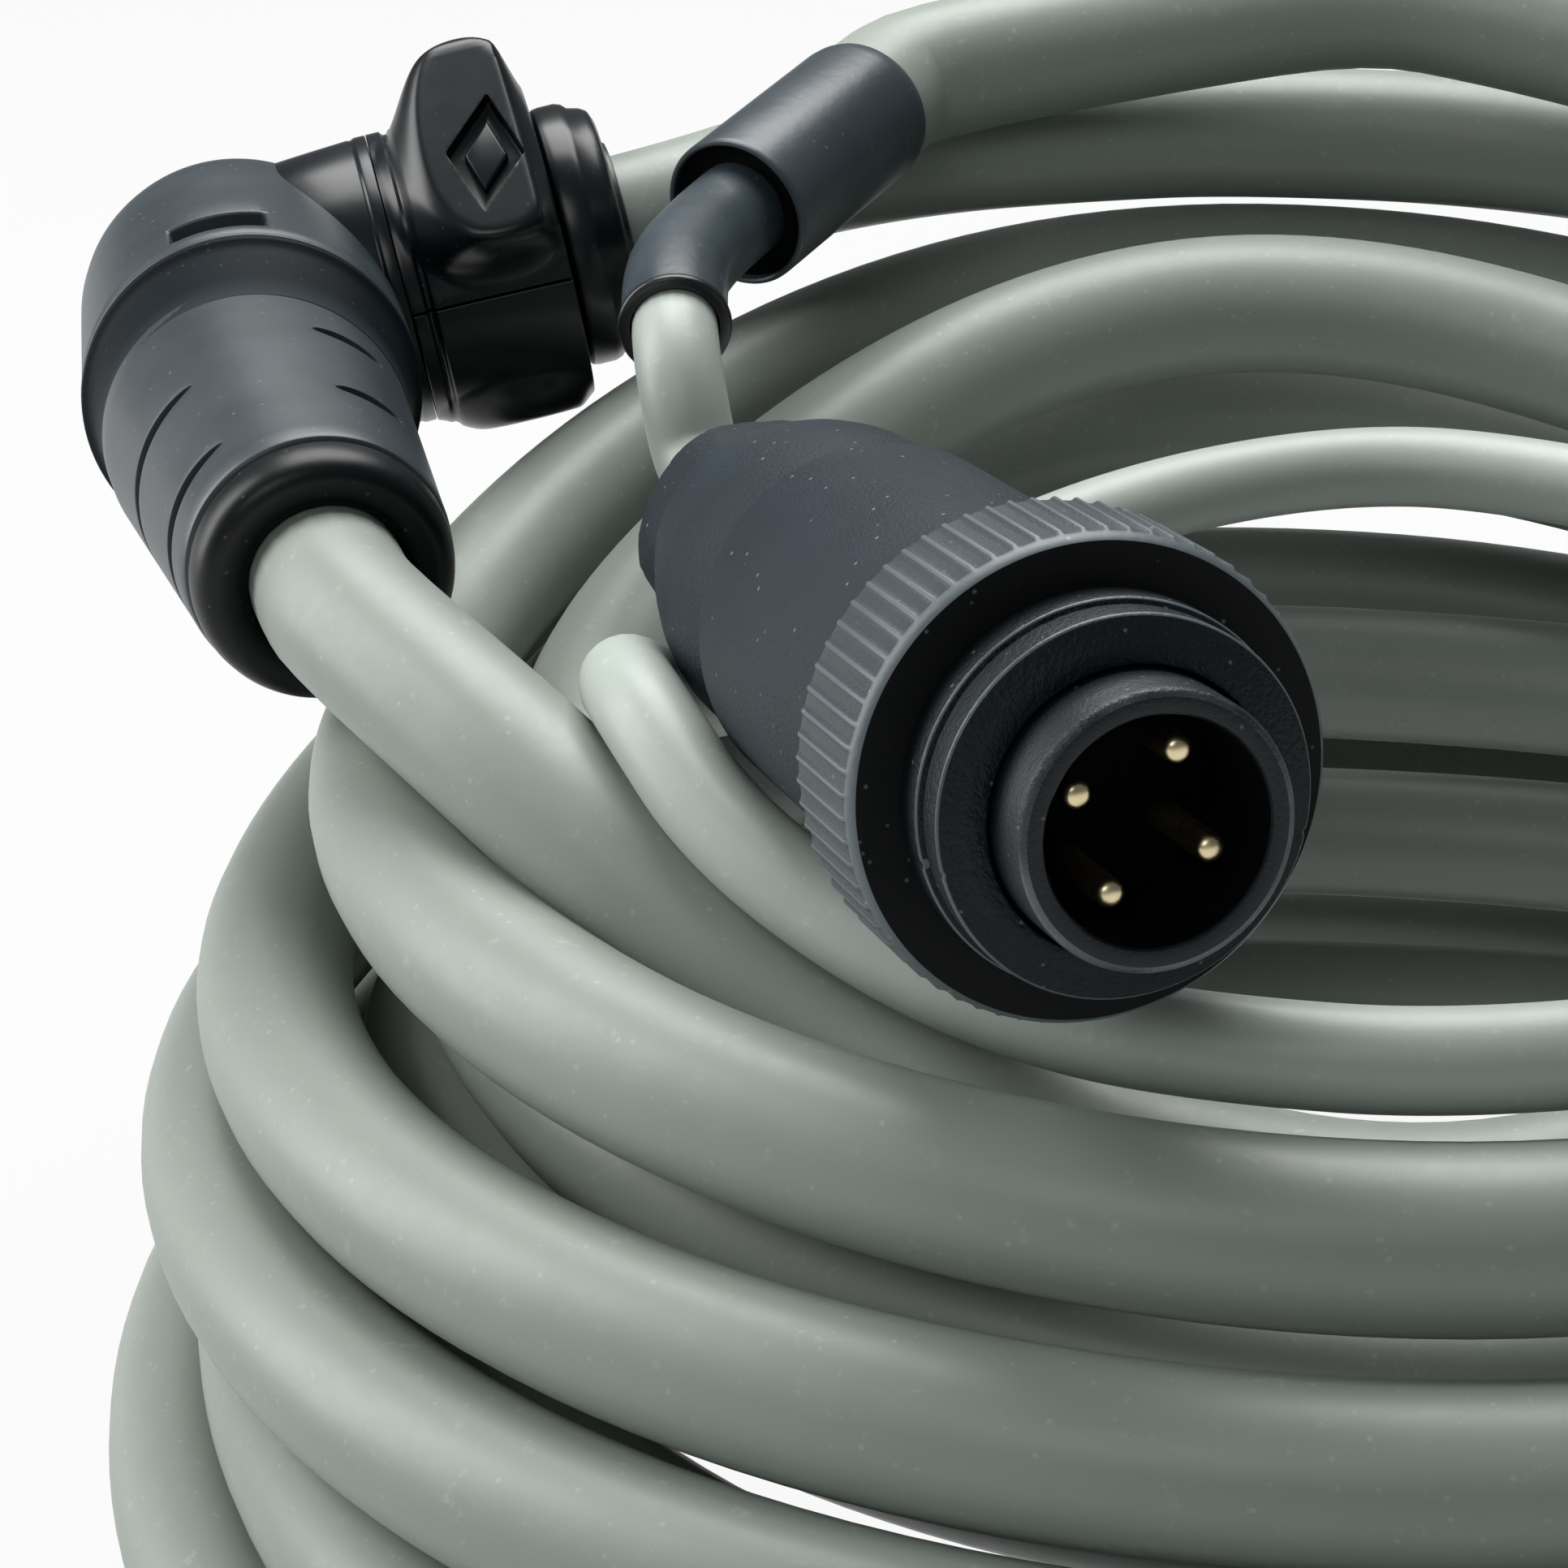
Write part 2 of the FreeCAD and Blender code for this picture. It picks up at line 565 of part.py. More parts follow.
# Socket on the cord's other end, pushed into the neck, and the ring seal between them
seal_end = S["neck_length"] + 0.9
socket_end = seal_end + S["socket_length"]
turned("face_seal", NECK, [
    (S["neck_bore"] + 0.2, S["neck_length"]), (S["neck_radius"] - 0.4, S["neck_length"]),
    (S["neck_radius"] - 0.4, seal_end), (S["neck_bore"] + 0.2, seal_end)])
socket_seat = seal_end + 1.6
socket_shell = turned("socket_shell", NECK, [
    (0.0, seal_end - S["socket_spigot"]),
    (S["neck_bore"] - S["snug"] - 0.4, seal_end - S["socket_spigot"]),
    (S["neck_bore"] - S["snug"], seal_end - S["socket_spigot"] + 0.4),
    (S["neck_bore"] - S["snug"], seal_end), (S["socket_radius"] - 0.7, seal_end),
    (S["socket_radius"], seal_end + 0.7), (S["socket_radius"], seal_end + 2.6),
    (S["socket_radius"] - 0.6, seal_end + 3.2), (S["socket_radius"] - 0.9, socket_end - 0.8),
    (S["socket_radius"] - 1.7, socket_end), (S["cable_dia"] / 2 + 1.5, socket_end),
    (S["cable_dia"] / 2 + 1.5, socket_seat), (0.0, socket_seat)])
turned("socket_grommet", NECK, [
    (S["cable_dia"] / 2 + S["snug"], socket_seat),
    (S["cable_dia"] / 2 + 1.5 - S["snug"], socket_seat),
    (S["cable_dia"] / 2 + 1.5 - S["snug"], socket_end + 0.6),
    (S["cable_dia"] / 2 + S["snug"], socket_end + 0.6)])


# Cables: an eight-sided tube along straight runs joined by tangent arcs
def tube(label, wire, start, along, dia, bore=0.0):
    side = Vector(0, 0, 1).cross(along).normalize()
    up = along.cross(side)
    n = int(num(S["cord_sides"]))

    def ring(radius):
        corners = [start + (side * math.cos(math.pi * (2 * i + 1) / n)
                            + up * math.sin(math.pi * (2 * i + 1) / n)) * radius
                   for i in range(n)]
        return Part.makePolygon(corners + corners[:1])

    solid = wire.makePipeShell([ring(num(dia) / 2)], True, False)
    area = n / 2.0 * (num(dia) / 2) ** 2 * math.sin(2 * math.pi / n)
    print("%s: %.0f mm long, volume is %.4f of section times length"
          % (label, wire.Length, solid.Volume / (area * wire.Length)))
    if num(bore):
        solid = solid.cut(wire.makePipeShell([ring(num(bore) / 2)], True, False))
    feature = doc.addObject("Part::Feature", label)
    feature.Shape = solid
    keep(feature, label, Placement())
    return feature


def route(points):
    """Straight runs, and at each point an arc as large as its two runs allow."""
    edges, radii, last = [], [], points[0]
    for a, b, c in zip(points, points[1:], points[2:]):
        into, out = (b - a).normalize(), (c - b).normalize()
        turn = into.getAngle(out)
        trim = 0.45 * min(a.distanceToPoint(b), b.distanceToPoint(c))
        radii.append(trim / math.tan(turn / 2))
        p, q = b - into * trim, b + out * trim
        inward = (out - into).normalize()
        middle = b + inward * (radii[-1] / math.cos(turn / 2) - radii[-1])
        edges += [Part.LineSegment(last, p).toShape(), Part.Arc(p, middle, q).toShape()]
        last = q
    edges.append(Part.LineSegment(last, points[-1]).toShape())
    return Part.Wire(edges), radii


def cable(label, points, dia, bore=0.0):
    wire, radii = route(points)
    print("%s: arc radii %s" % (label, ", ".join("%.0f" % r for r in radii)))
    return tube(label, wire, points[0], (points[1] - points[0]).normalize(), dia, bore)


# The pile: five turns go down the inner column, step outward on the floor, and five
# climb the outer column. Each column has a radius and a height at its left, near, right
# and far sides for every level; a turn changes level on its right-hand half.
FOOT = num(S["cable_dia"] / 2 - S["foot_cut"])
INNER = [[(70, FOOT), (67, 18), (66.5, 30.3), (62.5, 43), (54, 55), (60, 68)],
         [(82, FOOT), (76, 19), (60, 25), (66, 37), (40, 29), (56, 44)],
         [(74, FOOT), (74, 20), (70, 34), (68, 47), (60, 58), (60, 74)],
         [(60, FOOT), (56, 23.5), (50, 41), (64, 59.5), (50, 74), (50, 74)]]
OUTER = [[(86, FOOT), (78.6, 15), (82.6, 26.9), (78, 38.4), (69.2, 52.9), (69, 70)],
         [(98, FOOT), (95.6, 17.2), (87.1, 29.5), (79.7, 39.6), (71.3, 50.6), (70, 62)],
         [(98, FOOT), (98, 21), (91, 34), (85, 47), (78, 61), (76, 84)],
         [(84, FOOT), (77, 22), (79, 38.5), (80, 55), (74, 70.7), (66, 96.5)]]
JOIN_IN, JOIN_OUT = 0.207, 0.70
CLIMB_FROM, CLIMB_OVER = 0.29, 0.43


def between(a, b, share):
    return [p + (q - p) * share for p, q in zip(a, b)]


def on_column(column, level, turn):
    quarter = turn * 4
    k = int(math.floor(quarter))
    share = (1 - math.cos(math.pi * (quarter - k))) / 2
    ends = []
    for sides in (column[k % 4], column[(k + 1) % 4]):
        low = min(max(int(level), 0), len(sides) - 2)
        ends.append(between(sides[low], sides[low + 1], level - low))
    return between(ends[0], ends[1], share)


def pile_point(u):
    """Centre of the cable u turns after the first pass of the left side."""
    n = int(num(S["inner_turns"]))
    k = int(math.floor(u))
    turn = u - k
    g = min(max((turn - CLIMB_FROM) / CLIMB_OVER, 0.0), 1.0)
    climb = g * g * (3 - 2 * g)
    if k < n:
        r, z = on_column(INNER, n - k - climb, turn)
    elif k == n:
        r, z = between(on_column(INNER, 0, turn), on_column(OUTER, 0, turn), climb)
    else:
        r, z = on_column(OUTER, k - n - 1 + climb, turn)
    angle = math.pi + 2 * math.pi * turn
    return spot(r * math.cos(angle), r * math.sin(angle), z)


def pile_heading(u):
    return (pile_point(u + 1e-4) - pile_point(u - 1e-4)).normalize()


def biarc(p0, t0, p1, t1):
    """Two arcs that leave p0 along t0 and reach p1 along t1."""
    v, t = p1 - p0, t0 + t1
    a, b, c = 2 * (1 - t0.dot(t1)), 2 * v.dot(t), -v.dot(v)
    d = (-b + math.sqrt(b * b - 4 * a * c)) / (2 * a) if a > 1e-9 else -c / b
    q0, q1 = p0 + t0 * d, p1 - t1 * d
    middle, heading = (q0 + q1) * 0.5, (q1 - q0).normalize()
    arcs = []
    for start, along, end in ((p0, t0, middle), (middle, heading, p1)):
        chord = end - start
        bend = along.getAngle(chord)
        normal = along.cross(chord).normalize()
        radius = chord.Length / (2 * math.sin(bend))
        hub = start + normal.cross(along) * radius
        half = Rotation(normal, math.degrees(bend)).multVec(start - hub)
        arcs.append((Part.Arc(start, hub + half, end).toShape(), radius))
    return arcs


last_turn = num(S["inner_turns"]) + num(S["outer_turns"]) + JOIN_OUT
marks = [JOIN_IN] + [q / 4.0 for q in range(2, int(last_turn * 4) + 1)]
marks[-1] = last_turn
spots = [pile_point(u) for u in marks]
headings = [pile_heading(u) for u in marks]
arcs = []
for i in range(len(marks) - 1):
    arcs += biarc(spots[i], headings[i], spots[i + 1], headings[i + 1])
pile = Part.Wire([edge for edge, radius in arcs])
print("main_coil: tightest arc %.1f mm" % min(radius for edge, radius in arcs))

# Least gap of the pile to itself, measured on points along its centre line
dots = [(k, p) for k, (edge, radius) in enumerate(arcs) for p in edge.discretize(7)[:-1]]
least = min((p - q).Length for i, (k, p) in enumerate(dots)
            for m, q in dots[i + 1:] if m - k > 3)
print("main_coil: least gap to itself %.2f mm" % (least - num(S["cable_dia"])))
coil = tube("main_coil", pile, spots[0], headings[0], S["cable_dia"])
below = Part.makeBox(400, 400, 40, Vector(-200, -200, -40))
coil.Shape = coil.Shape.cut(below)


def inside(place, height, x=0.0, y=0.0):
    return place.multVec(Vector(x, y, num(height)))


# Lead from the elbow's lip to the top of the inner column
cable("elbow_lead", [
    inside(BOOT, cable_seat), inside(BOOT, lip_tip + 6.0), spot(-60.4, -24.1, 64.6),
    spot(-52.4, -32.2, 60.3), spot(-46.6, -36.4, 56.7),
    spot(-35.6, -44.5, 50.7), spots[0] - headings[0] * 11.0, spots[0]], S["cable_dia"])

# Lead from the top of the outer column to the reducing sleeve
core_far = S["core_setback"] + S["core_length"]
cable("junction_lead", [
    inside(JOINT, core_far), inside(JOINT, S["sleeve_length"] + 8.0), spot(-6.0, 66.2, 95.2),
    spots[-1] + headings[-1] * 11.0, spots[-1]], S["cable_dia"])

# Lead from the socket, over the far side and down the right, to the second sleeve
cable("socket_lead", [
    inside(NECK, socket_seat), inside(NECK, socket_end + 4.0), spot(-40, 66, 82),
    spot(-27, 70, 83.4), spot(-13.5, 73.5, 83.6), spot(0, 75.7, 83.7), spot(23.6, 73.2, 83.3),
    spot(48.2, 66.4, 80.8), spot(71.2, 51.7, 76.2), spot(83.2, 35.0, 73.2),
    inside(SPLICE, S["sleeve_length"] + 3.0), inside(SPLICE, core_far)], S["cable_dia"])

# Thin branch lead: along the near side, round under the plug and back inside the turns
THIN_END = [spot(4, 36, 65), spot(18, 33.5, 65.5), spot(30, 24, 65.5)]
cable("thin_lead", [
    inside(SPLICE, S["core_setback"]), inside(SPLICE, -11.5), spot(87.0, -21.0, 74.4),
    spot(76.0, -31.5, 75.2), spot(59.9, -43.8, 70.8), spot(40.6, -56, 65), spot(20.5, -63.2, 61.2),
    spot(0, -65.6, 60), spot(-14.3, -63.2, 60), spot(-24.2, -57.3, 59.2), spot(-34.3, -49.5, 60.5),
    spot(-44.1, -40.4, 64.6), spot(-49.6, -31.2, 69.8), spot(-51.2, -21.6, 68.2),
    spot(-48.7, -12.4, 63.2), spot(-44.3, -3.5, 60.0), spot(-37, 6.5, 59.2), spot(-27, 19, 61),
    spot(-13, 30, 63.5)] + THIN_END, S["thin_dia"])

# Tail sleeve and the thin cable inside it, from the junction down into the plug's nut
TAIL = [inside(JOINT, S["core_setback"]), inside(JOINT, -3.0), spot(-48.0, 26.0, 84.4),
        spot(-48.4, 19.5, 83.9), spot(-48.2, 14.7, 82.7)]
cable("tail_sleeve", TAIL, S["thin_dia"] + S["tail_wall"] * 2, S["thin_dia"] + S["snug"] * 4)
cable("pigtail", TAIL[:-1] + [
    spot(-48.0, 9.5, 81.4), inside(PLUG, -nut_end - 5.4), inside(PLUG, -seat)], S["thin_dia"])

# Stripped cores with crimped ends at the free end of the branch lead
END = axes(THIN_END[-1], (THIN_END[-1] - THIN_END[-2]).normalize())
for i in range(3):
    turn = Rotation(Vector(0, 0, 1), 120.0 * i)
    offset = END.multiply(Placement(turn.multVec(Vector(num(S["core_dia"]) * 0.6, 0, 0)), turn))
    core = doc.addObject("Part::Cylinder", "Core%d" % (i + 1))
    bind(core, "Radius", S["core_dia"] / 2)
    bind(core, "Height", S["core_bare"])
    keep(core, "core_wire_%d" % (i + 1), offset)
    tip = doc.addObject("Part::Cylinder", "Ferrule%d" % (i + 1))
    bind(tip, "Radius", S["ferrule_dia"] / 2)
    bind(tip, "Height", S["ferrule_length"])
    keep(tip, "core_ferrule_%d" % (i + 1),
         offset.multiply(Placement(Vector(0, 0, num(S["core_bare"])), Rotation())))

doc.recompute()

# Nothing is written unless every object and every piece came out sound
for obj in doc.Objects:
    if "Invalid" in obj.State or "Error" in obj.State:
        raise RuntimeError("failed: " + obj.Label)
os.makedirs("parts", exist_ok=True)
for obj in parts:
    if obj.Shape.isNull() or not obj.Shape.isValid():
        raise RuntimeError("unsound shape: " + obj.Label)
box = FreeCAD.BoundBox()
for obj in parts:
    obj.Shape.exportStep("parts/%s.step" % obj.Label)
    box.add(obj.Shape.BoundBox)
print("whole: %.2f..%.2f, %.2f..%.2f, %.2f..%.2f mm, %d pieces"
      % (box.XMin, box.XMax, box.YMin, box.YMax, box.ZMin, box.ZMax, len(parts)))
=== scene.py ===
import json
import math
import bpy
from mathutils import Matrix, Vector


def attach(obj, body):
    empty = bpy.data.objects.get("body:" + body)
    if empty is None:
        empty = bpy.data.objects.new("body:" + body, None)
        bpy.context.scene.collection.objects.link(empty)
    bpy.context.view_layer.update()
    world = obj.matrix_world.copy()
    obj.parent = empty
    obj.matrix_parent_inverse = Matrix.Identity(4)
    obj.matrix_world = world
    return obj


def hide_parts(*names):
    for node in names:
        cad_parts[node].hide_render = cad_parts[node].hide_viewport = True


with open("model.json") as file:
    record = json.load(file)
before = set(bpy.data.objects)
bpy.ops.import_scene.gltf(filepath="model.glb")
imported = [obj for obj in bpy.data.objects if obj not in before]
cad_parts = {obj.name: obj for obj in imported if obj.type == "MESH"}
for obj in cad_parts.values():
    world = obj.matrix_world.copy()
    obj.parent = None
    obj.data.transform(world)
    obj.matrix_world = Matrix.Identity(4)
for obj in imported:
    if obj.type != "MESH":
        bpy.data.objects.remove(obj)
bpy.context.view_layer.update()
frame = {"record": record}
record = frame["record"]
joints = {joint["name"]: joint for joint in record["behaviour"]["joints"]}
MM = 0.001

# Where the pile's middle stands on the floor; every place below is counted from it.
PILE_X, PILE_Y = -1.87, 6.95


def spot(x, y, z):
    return Vector((x + PILE_X, y + PILE_Y, z)) * MM


# Camera: a short telephoto a hand's length in front of the pile, tilted 22 degrees down,
# which is the angle and the distance that the loops' ovals in the photograph ask for.
camera_lens = bpy.data.cameras.new("camera")
camera_lens.lens = 93.17
camera_lens.sensor_width = 36.0
camera_lens.clip_start = 0.01
camera = bpy.data.objects.new("camera", camera_lens)
bpy.context.collection.objects.link(camera)
camera.location = spot(-40, -281, 165)
camera.rotation_euler = (math.radians(90 - 22), 0, 0)
bpy.context.scene.camera = camera
bpy.context.scene.view_settings.view_transform = "Standard"


def linear(hexa):
    """Linear colour of an sRGB hex value."""
    parts = [int(hexa[i:i + 2], 16) / 255 for i in (1, 3, 5)]
    return [c / 12.92 if c <= 0.04045 else ((c + 0.055) / 1.055) ** 2.4 for c in parts] + [1.0]


def add(material, kind, links=None, **settings):
    """Adds a node: settings are its properties or input values, links its input sources."""
    node = material.node_tree.nodes.new(kind)
    for name, value in settings.items():
        if hasattr(node, name):
            setattr(node, name, value)
        else:
            node.inputs[name.replace("_", " ")].default_value = value
    for name, source in (links or {}).items():
        material.node_tree.links.new(source, node.inputs[name])
    return node


def blank_material(name):
    material = bpy.data.materials.new(name)
    material.use_nodes = True
    shader = material.node_tree.nodes["Principled BSDF"]
    return material, shader


def per_mm(size):
    """Texture scale that makes one feature this many millimetres."""
    return 1000.0 / size


def link(material, source, target):
    material.node_tree.links.new(source, target)


def select_only(*pieces):
    """Selects these objects alone; the last one is the active one."""
    if bpy.context.object and bpy.context.object.mode != "OBJECT":
        bpy.ops.object.mode_set(mode="OBJECT")
    bpy.ops.object.select_all(action="DESELECT")
    for piece in pieces:
        piece.select_set(True)
        bpy.context.view_layer.objects.active = piece


def dress(node, material):
    """Gives a CAD node that stays a material of its own."""
    slots = bpy.data.objects[node].data.materials
    slots.clear()
    slots.append(material)


# Studio: a white table that runs out of view, a large soft lamp above and behind, a long
# strip on the left and a weak one at the camera's side, as in a packshot booth.
TABLE_GLOW = 0.93
select_only()
bpy.ops.mesh.primitive_plane_add(size=6.0, location=(0, 0, 0))
table = bpy.context.object
table.name = "table"
white, shader = blank_material("white_table")
shader.inputs["Base Color"].default_value = linear("#a6a8a6")
shader.inputs["Roughness"].default_value = 0.7
path = add(white, "ShaderNodeLightPath")
seen = add(white, "ShaderNodeMath", {
    0: path.outputs["Is Camera Ray"], 1: path.outputs["Is Glossy Ray"]}, operation="MAXIMUM")
share = add(white, "ShaderNodeMath", {0: seen.outputs[0]}, operation="MULTIPLY")
share.inputs[1].default_value = TABLE_GLOW
glow = add(white, "ShaderNodeEmission", Color=(1, 1, 1, 1), Strength=1.0)
mix = add(white, "ShaderNodeMixShader", {
    0: share.outputs[0], 1: shader.outputs[0], 2: glow.outputs[0]})
link(white, mix.outputs[0], white.node_tree.nodes["Material Output"].inputs["Surface"])
table.data.materials.append(white)

world = bpy.data.worlds.new("booth")
bpy.context.scene.world = world
world.use_nodes = True
rays = add(world, "ShaderNodeLightPath")
bright = add(world, "ShaderNodeMixRGB", {"Fac": rays.outputs["Is Camera Ray"]},
             Color1=(0.145, 0.15, 0.155, 1), Color2=(1, 1, 1, 1))
link(world, bright.outputs[0], world.node_tree.nodes["Background"].inputs["Color"])


def lamp(name, place, aim, wide, high, watts):
    light = bpy.data.lights.new(name, "AREA")
    light.shape = "RECTANGLE"
    light.size, light.size_y, light.energy = wide, high, watts
    thing = bpy.data.objects.new(name, light)
    bpy.context.collection.objects.link(thing)
    thing.location = place
    thing.rotation_euler = (Vector(aim) - Vector(place)).to_track_quat("-Z", "Y").to_euler()


lamp("top_lamp", (-0.03, 0.26, 0.62), (0, 0, 0.05), 0.50, 0.45, 5.9)
lamp("left_lamp", (-0.60, 0.12, 0.30), (0, 0, 0.06), 0.25, 0.60, 3.6)
lamp("front_lamp", (-0.25, -0.65, 0.55), (0, 0, 0.05), 0.40, 0.30, 1.1)


def dusted(material, place, tone, colour, most, cell, speck, clear):
    """Strews dust over a tone: one speck in each cell, which fades between two radii."""
    cells = add(material, "ShaderNodeTexVoronoi", {"Vector": place}, Scale=per_mm(cell))
    ramp = add(material, "ShaderNodeValToRGB", {"Fac": cells.outputs["Distance"]})
    near, far = ramp.color_ramp.elements
    near.color, near.position = (most, most, most, 1), speck
    far.color, far.position = (0, 0, 0, 1), clear
    mixed = add(material, "ShaderNodeMixRGB", {"Fac": ramp.outputs[0], "Color1": tone},
                Color2=linear(colour))
    return mixed.outputs[0]


def spread(material, value, low, high, **settings):
    """Maps a noise value from 0..1, or from the given range, to low..high."""
    node = add(material, "ShaderNodeMapRange", {"Value": value}, **settings)
    node.inputs["To Min"].default_value = low
    node.inputs["To Max"].default_value = high
    return node.outputs[0]


# Thick cable: plasticised PVC sheath, pressed round three cores and coiled by hand. It is
# satin, a little green, with fine dust, rub marks and a faint waviness of the lay.
def sheath(name, body, worn, dark):
    material, shader = blank_material(name)
    place = add(material, "ShaderNodeTexCoord").outputs["Object"]
    broad = add(material, "ShaderNodeTexNoise", {"Vector": place}, Scale=per_mm(30), Detail=3.0)
    tone = add(material, "ShaderNodeMixRGB", {"Fac": broad.outputs["Fac"]},
               Color1=linear(dark), Color2=linear(worn))
    rubbed = add(material, "ShaderNodeTexNoise", {"Vector": place}, Scale=per_mm(1.6),
                 Detail=6.0, Roughness=0.7)
    rub_ramp = add(material, "ShaderNodeValToRGB", {"Fac": rubbed.outputs["Fac"]})
    rub_ramp.color_ramp.elements[0].position = 0.60
    rub_ramp.color_ramp.elements[1].position = 0.80
    body_tone = add(material, "ShaderNodeMixRGB", {"Color1": tone.outputs[0]},
                    Fac=0.72, Color2=linear(body))
    marked = add(material, "ShaderNodeMixRGB", {
        "Fac": rub_ramp.outputs[0], "Color1": body_tone.outputs[0]}, Color2=linear(worn))
    dusty = dusted(material, place, marked.outputs[0], "#dfe3df", 0.14, 1.9, 0.05, 0.13)
    link(material, dusty, shader.inputs["Base Color"])
    gloss = spread(material, rubbed.outputs["Fac"], 0.34, 0.55)
    link(material, gloss, shader.inputs["Roughness"])
    wave = add(material, "ShaderNodeTexNoise", {"Vector": place}, Scale=per_mm(9), Detail=1.0)
    dent = add(material, "ShaderNodeBump", {"Height": wave.outputs["Fac"]}, Strength=0.10)
    dent.inputs["Distance"].default_value = 0.0012
    fine = add(material, "ShaderNodeBump", {"Height": rubbed.outputs["Fac"],
                                            "Normal": dent.outputs[0]}, Strength=0.06)
    fine.inputs["Distance"].default_value = 0.0003
    link(material, fine.outputs[0], shader.inputs["Normal"])
    shader.inputs["IOR"].default_value = 1.50
    return material


thick_grey = sheath("grey_pvc_sheath", "#889088", "#a3aba3", "#777f78")
THICK, THIN = 11.5, 6.5

# The pile: the elbow's lead, five turns down the inner column, five up the outer one and
# the lead to the reducing sleeve. Each column has a radius and a height at its left, near,
# right and far sides for every level, and a turn changes level on its right-hand half.
FOOT = THICK / 2 - 1.15
INNER = [[(70, FOOT), (67, 18), (66.5, 30.3), (62.5, 43), (54, 55), (60, 68)],
         [(82, FOOT), (76, 19), (60, 25), (66, 37), (40, 29), (56, 44)],
         [(74, FOOT), (74, 20), (70, 34), (68, 47), (60, 58), (60, 74)],
         [(60, FOOT), (56, 23.5), (50, 41), (64, 59.5), (50, 74), (50, 74)]]
OUTER = [[(86, FOOT), (78.6, 15), (82.6, 26.9), (78, 38.4), (69.2, 52.9), (69, 70)],
         [(98, FOOT), (95.6, 17.2), (87.1, 29.5), (79.7, 39.6), (71.3, 50.6), (70, 62)],
         [(98, FOOT), (98, 21), (91, 34), (85, 47), (78, 61), (76, 84)],
         [(84, FOOT), (77, 22), (79, 38.5), (80, 55), (74, 70.7), (66, 96.5)]]
FIRST, LAST, TURN_POINTS = 0.207, 10.70, 36


def between(a, b, share):
    return [p + (q - p) * share for p, q in zip(a, b)]


def on_column(column, level, turn):
    quarter = turn * 4
    k = int(math.floor(quarter))
    share = (1 - math.cos(math.pi * (quarter - k))) / 2
    ends = []
    for sides in (column[k % 4], column[(k + 1) % 4]):
        low = min(max(int(level), 0), len(sides) - 2)
        ends.append(between(sides[low], sides[low + 1], level - low))
    return between(ends[0], ends[1], share)


def pile_point(u, inner_turns=5):
    k = int(math.floor(u))
    turn = u - k
    g = min(max((turn - 0.29) / 0.43, 0.0), 1.0)
    climb = g * g * (3 - 2 * g)
    if k < inner_turns:
        r, z = on_column(INNER, inner_turns - k - climb, turn)
    elif k == inner_turns:
        r, z = between(on_column(INNER, 0, turn), on_column(OUTER, 0, turn), climb)
    else:
        r, z = on_column(OUTER, k - inner_turns - 1 + climb, turn)
    angle = math.pi + 2 * math.pi * turn
    # A smooth line of order 3 runs inside its points, so they stand out by that share
    r /= 0.75 + 0.25 * math.cos(2 * math.pi / TURN_POINTS)
    return spot(r * math.cos(angle), r * math.sin(angle), z + 0.9)


def heading(u):
    return (pile_point(u + 1e-3) - pile_point(u - 1e-3)).normalized()


def along(origin, axis, distance):
    return origin + axis * distance * MM


ELBOW = spot(-86.3, 54.6, 72.3)
HEAD_AXIS = Vector((0.168, -0.984, -0.06)).normalized()
BOOT_AXIS = Vector((0.278, -0.958, -0.059)).normalized()
NECK_AXIS = Vector(joints["locking_collar_turn"]["axis"])
BOOT = along(ELBOW, HEAD_AXIS, 30.0)
JOINT = spot(-43.9, 38.4, 85.4)
JOINT_AXIS = Vector((0.498, 0.842, 0.206)).normalized()
SPLICE = spot(89.8, 1.0, 72.0)
SPLICE_AXIS = Vector((-0.121, 0.993, 0.0)).normalized()
LIP_SEAT, LIP_TIP = 19.1, 30.6
CORE_FAR, SLEEVE_LENGTH, CORE_NEAR = 9.0, 21.4, 0.8


def smooth_cord(name, points, diameter, material, sides=10, steps=4):
    """A cord as one smooth line of order 3 through its listed points."""
    curve = bpy.data.curves.new(name, "CURVE")
    curve.dimensions = "3D"
    curve.bevel_depth = diameter / 2 * MM
    curve.bevel_resolution = sides
    curve.use_fill_caps = True
    spline = curve.splines.new("NURBS")
    spline.points.add(len(points) - 1)
    for knot, p in zip(spline.points, points):
        knot.co = (p.x, p.y, p.z, 1.0)
    spline.order_u = 3
    spline.use_endpoint_u = True
    spline.resolution_u = steps
    spline.use_smooth = True
    curve.materials.append(material)
    cord = bpy.data.objects.new(name, curve)
    bpy.context.collection.objects.link(cord)
    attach(cord, "cord")
    return cord


turns = [FIRST + (LAST - FIRST) * i / round((LAST - FIRST) * TURN_POINTS)
         for i in range(round((LAST - FIRST) * TURN_POINTS) + 1)]
pile_points = [
    along(BOOT, BOOT_AXIS, LIP_SEAT), along(BOOT, BOOT_AXIS, LIP_TIP),
    along(BOOT, BOOT_AXIS, LIP_TIP + 6.0),
    spot(-60.4, -24.1, 64.6), spot(-52.4, -32.2, 60.3), spot(-46.6, -36.4, 56.7),
    spot(-35.6, -44.5, 50.7), pile_point(FIRST) - heading(FIRST) * 11.0 * MM]
pile_points += [pile_point(u) for u in turns]
pile_points += [
    pile_point(LAST) + heading(LAST) * 11.0 * MM, spot(-6.0, 66.2, 95.2),
    along(JOINT, JOINT_AXIS, SLEEVE_LENGTH + 8.0),
    along(JOINT, JOINT_AXIS, SLEEVE_LENGTH + 1.0), along(JOINT, JOINT_AXIS, CORE_FAR)]
pile = smooth_cord("coiled_cable", pile_points, THICK, thick_grey)
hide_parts("elbow_lead", "main_coil", "junction_lead")

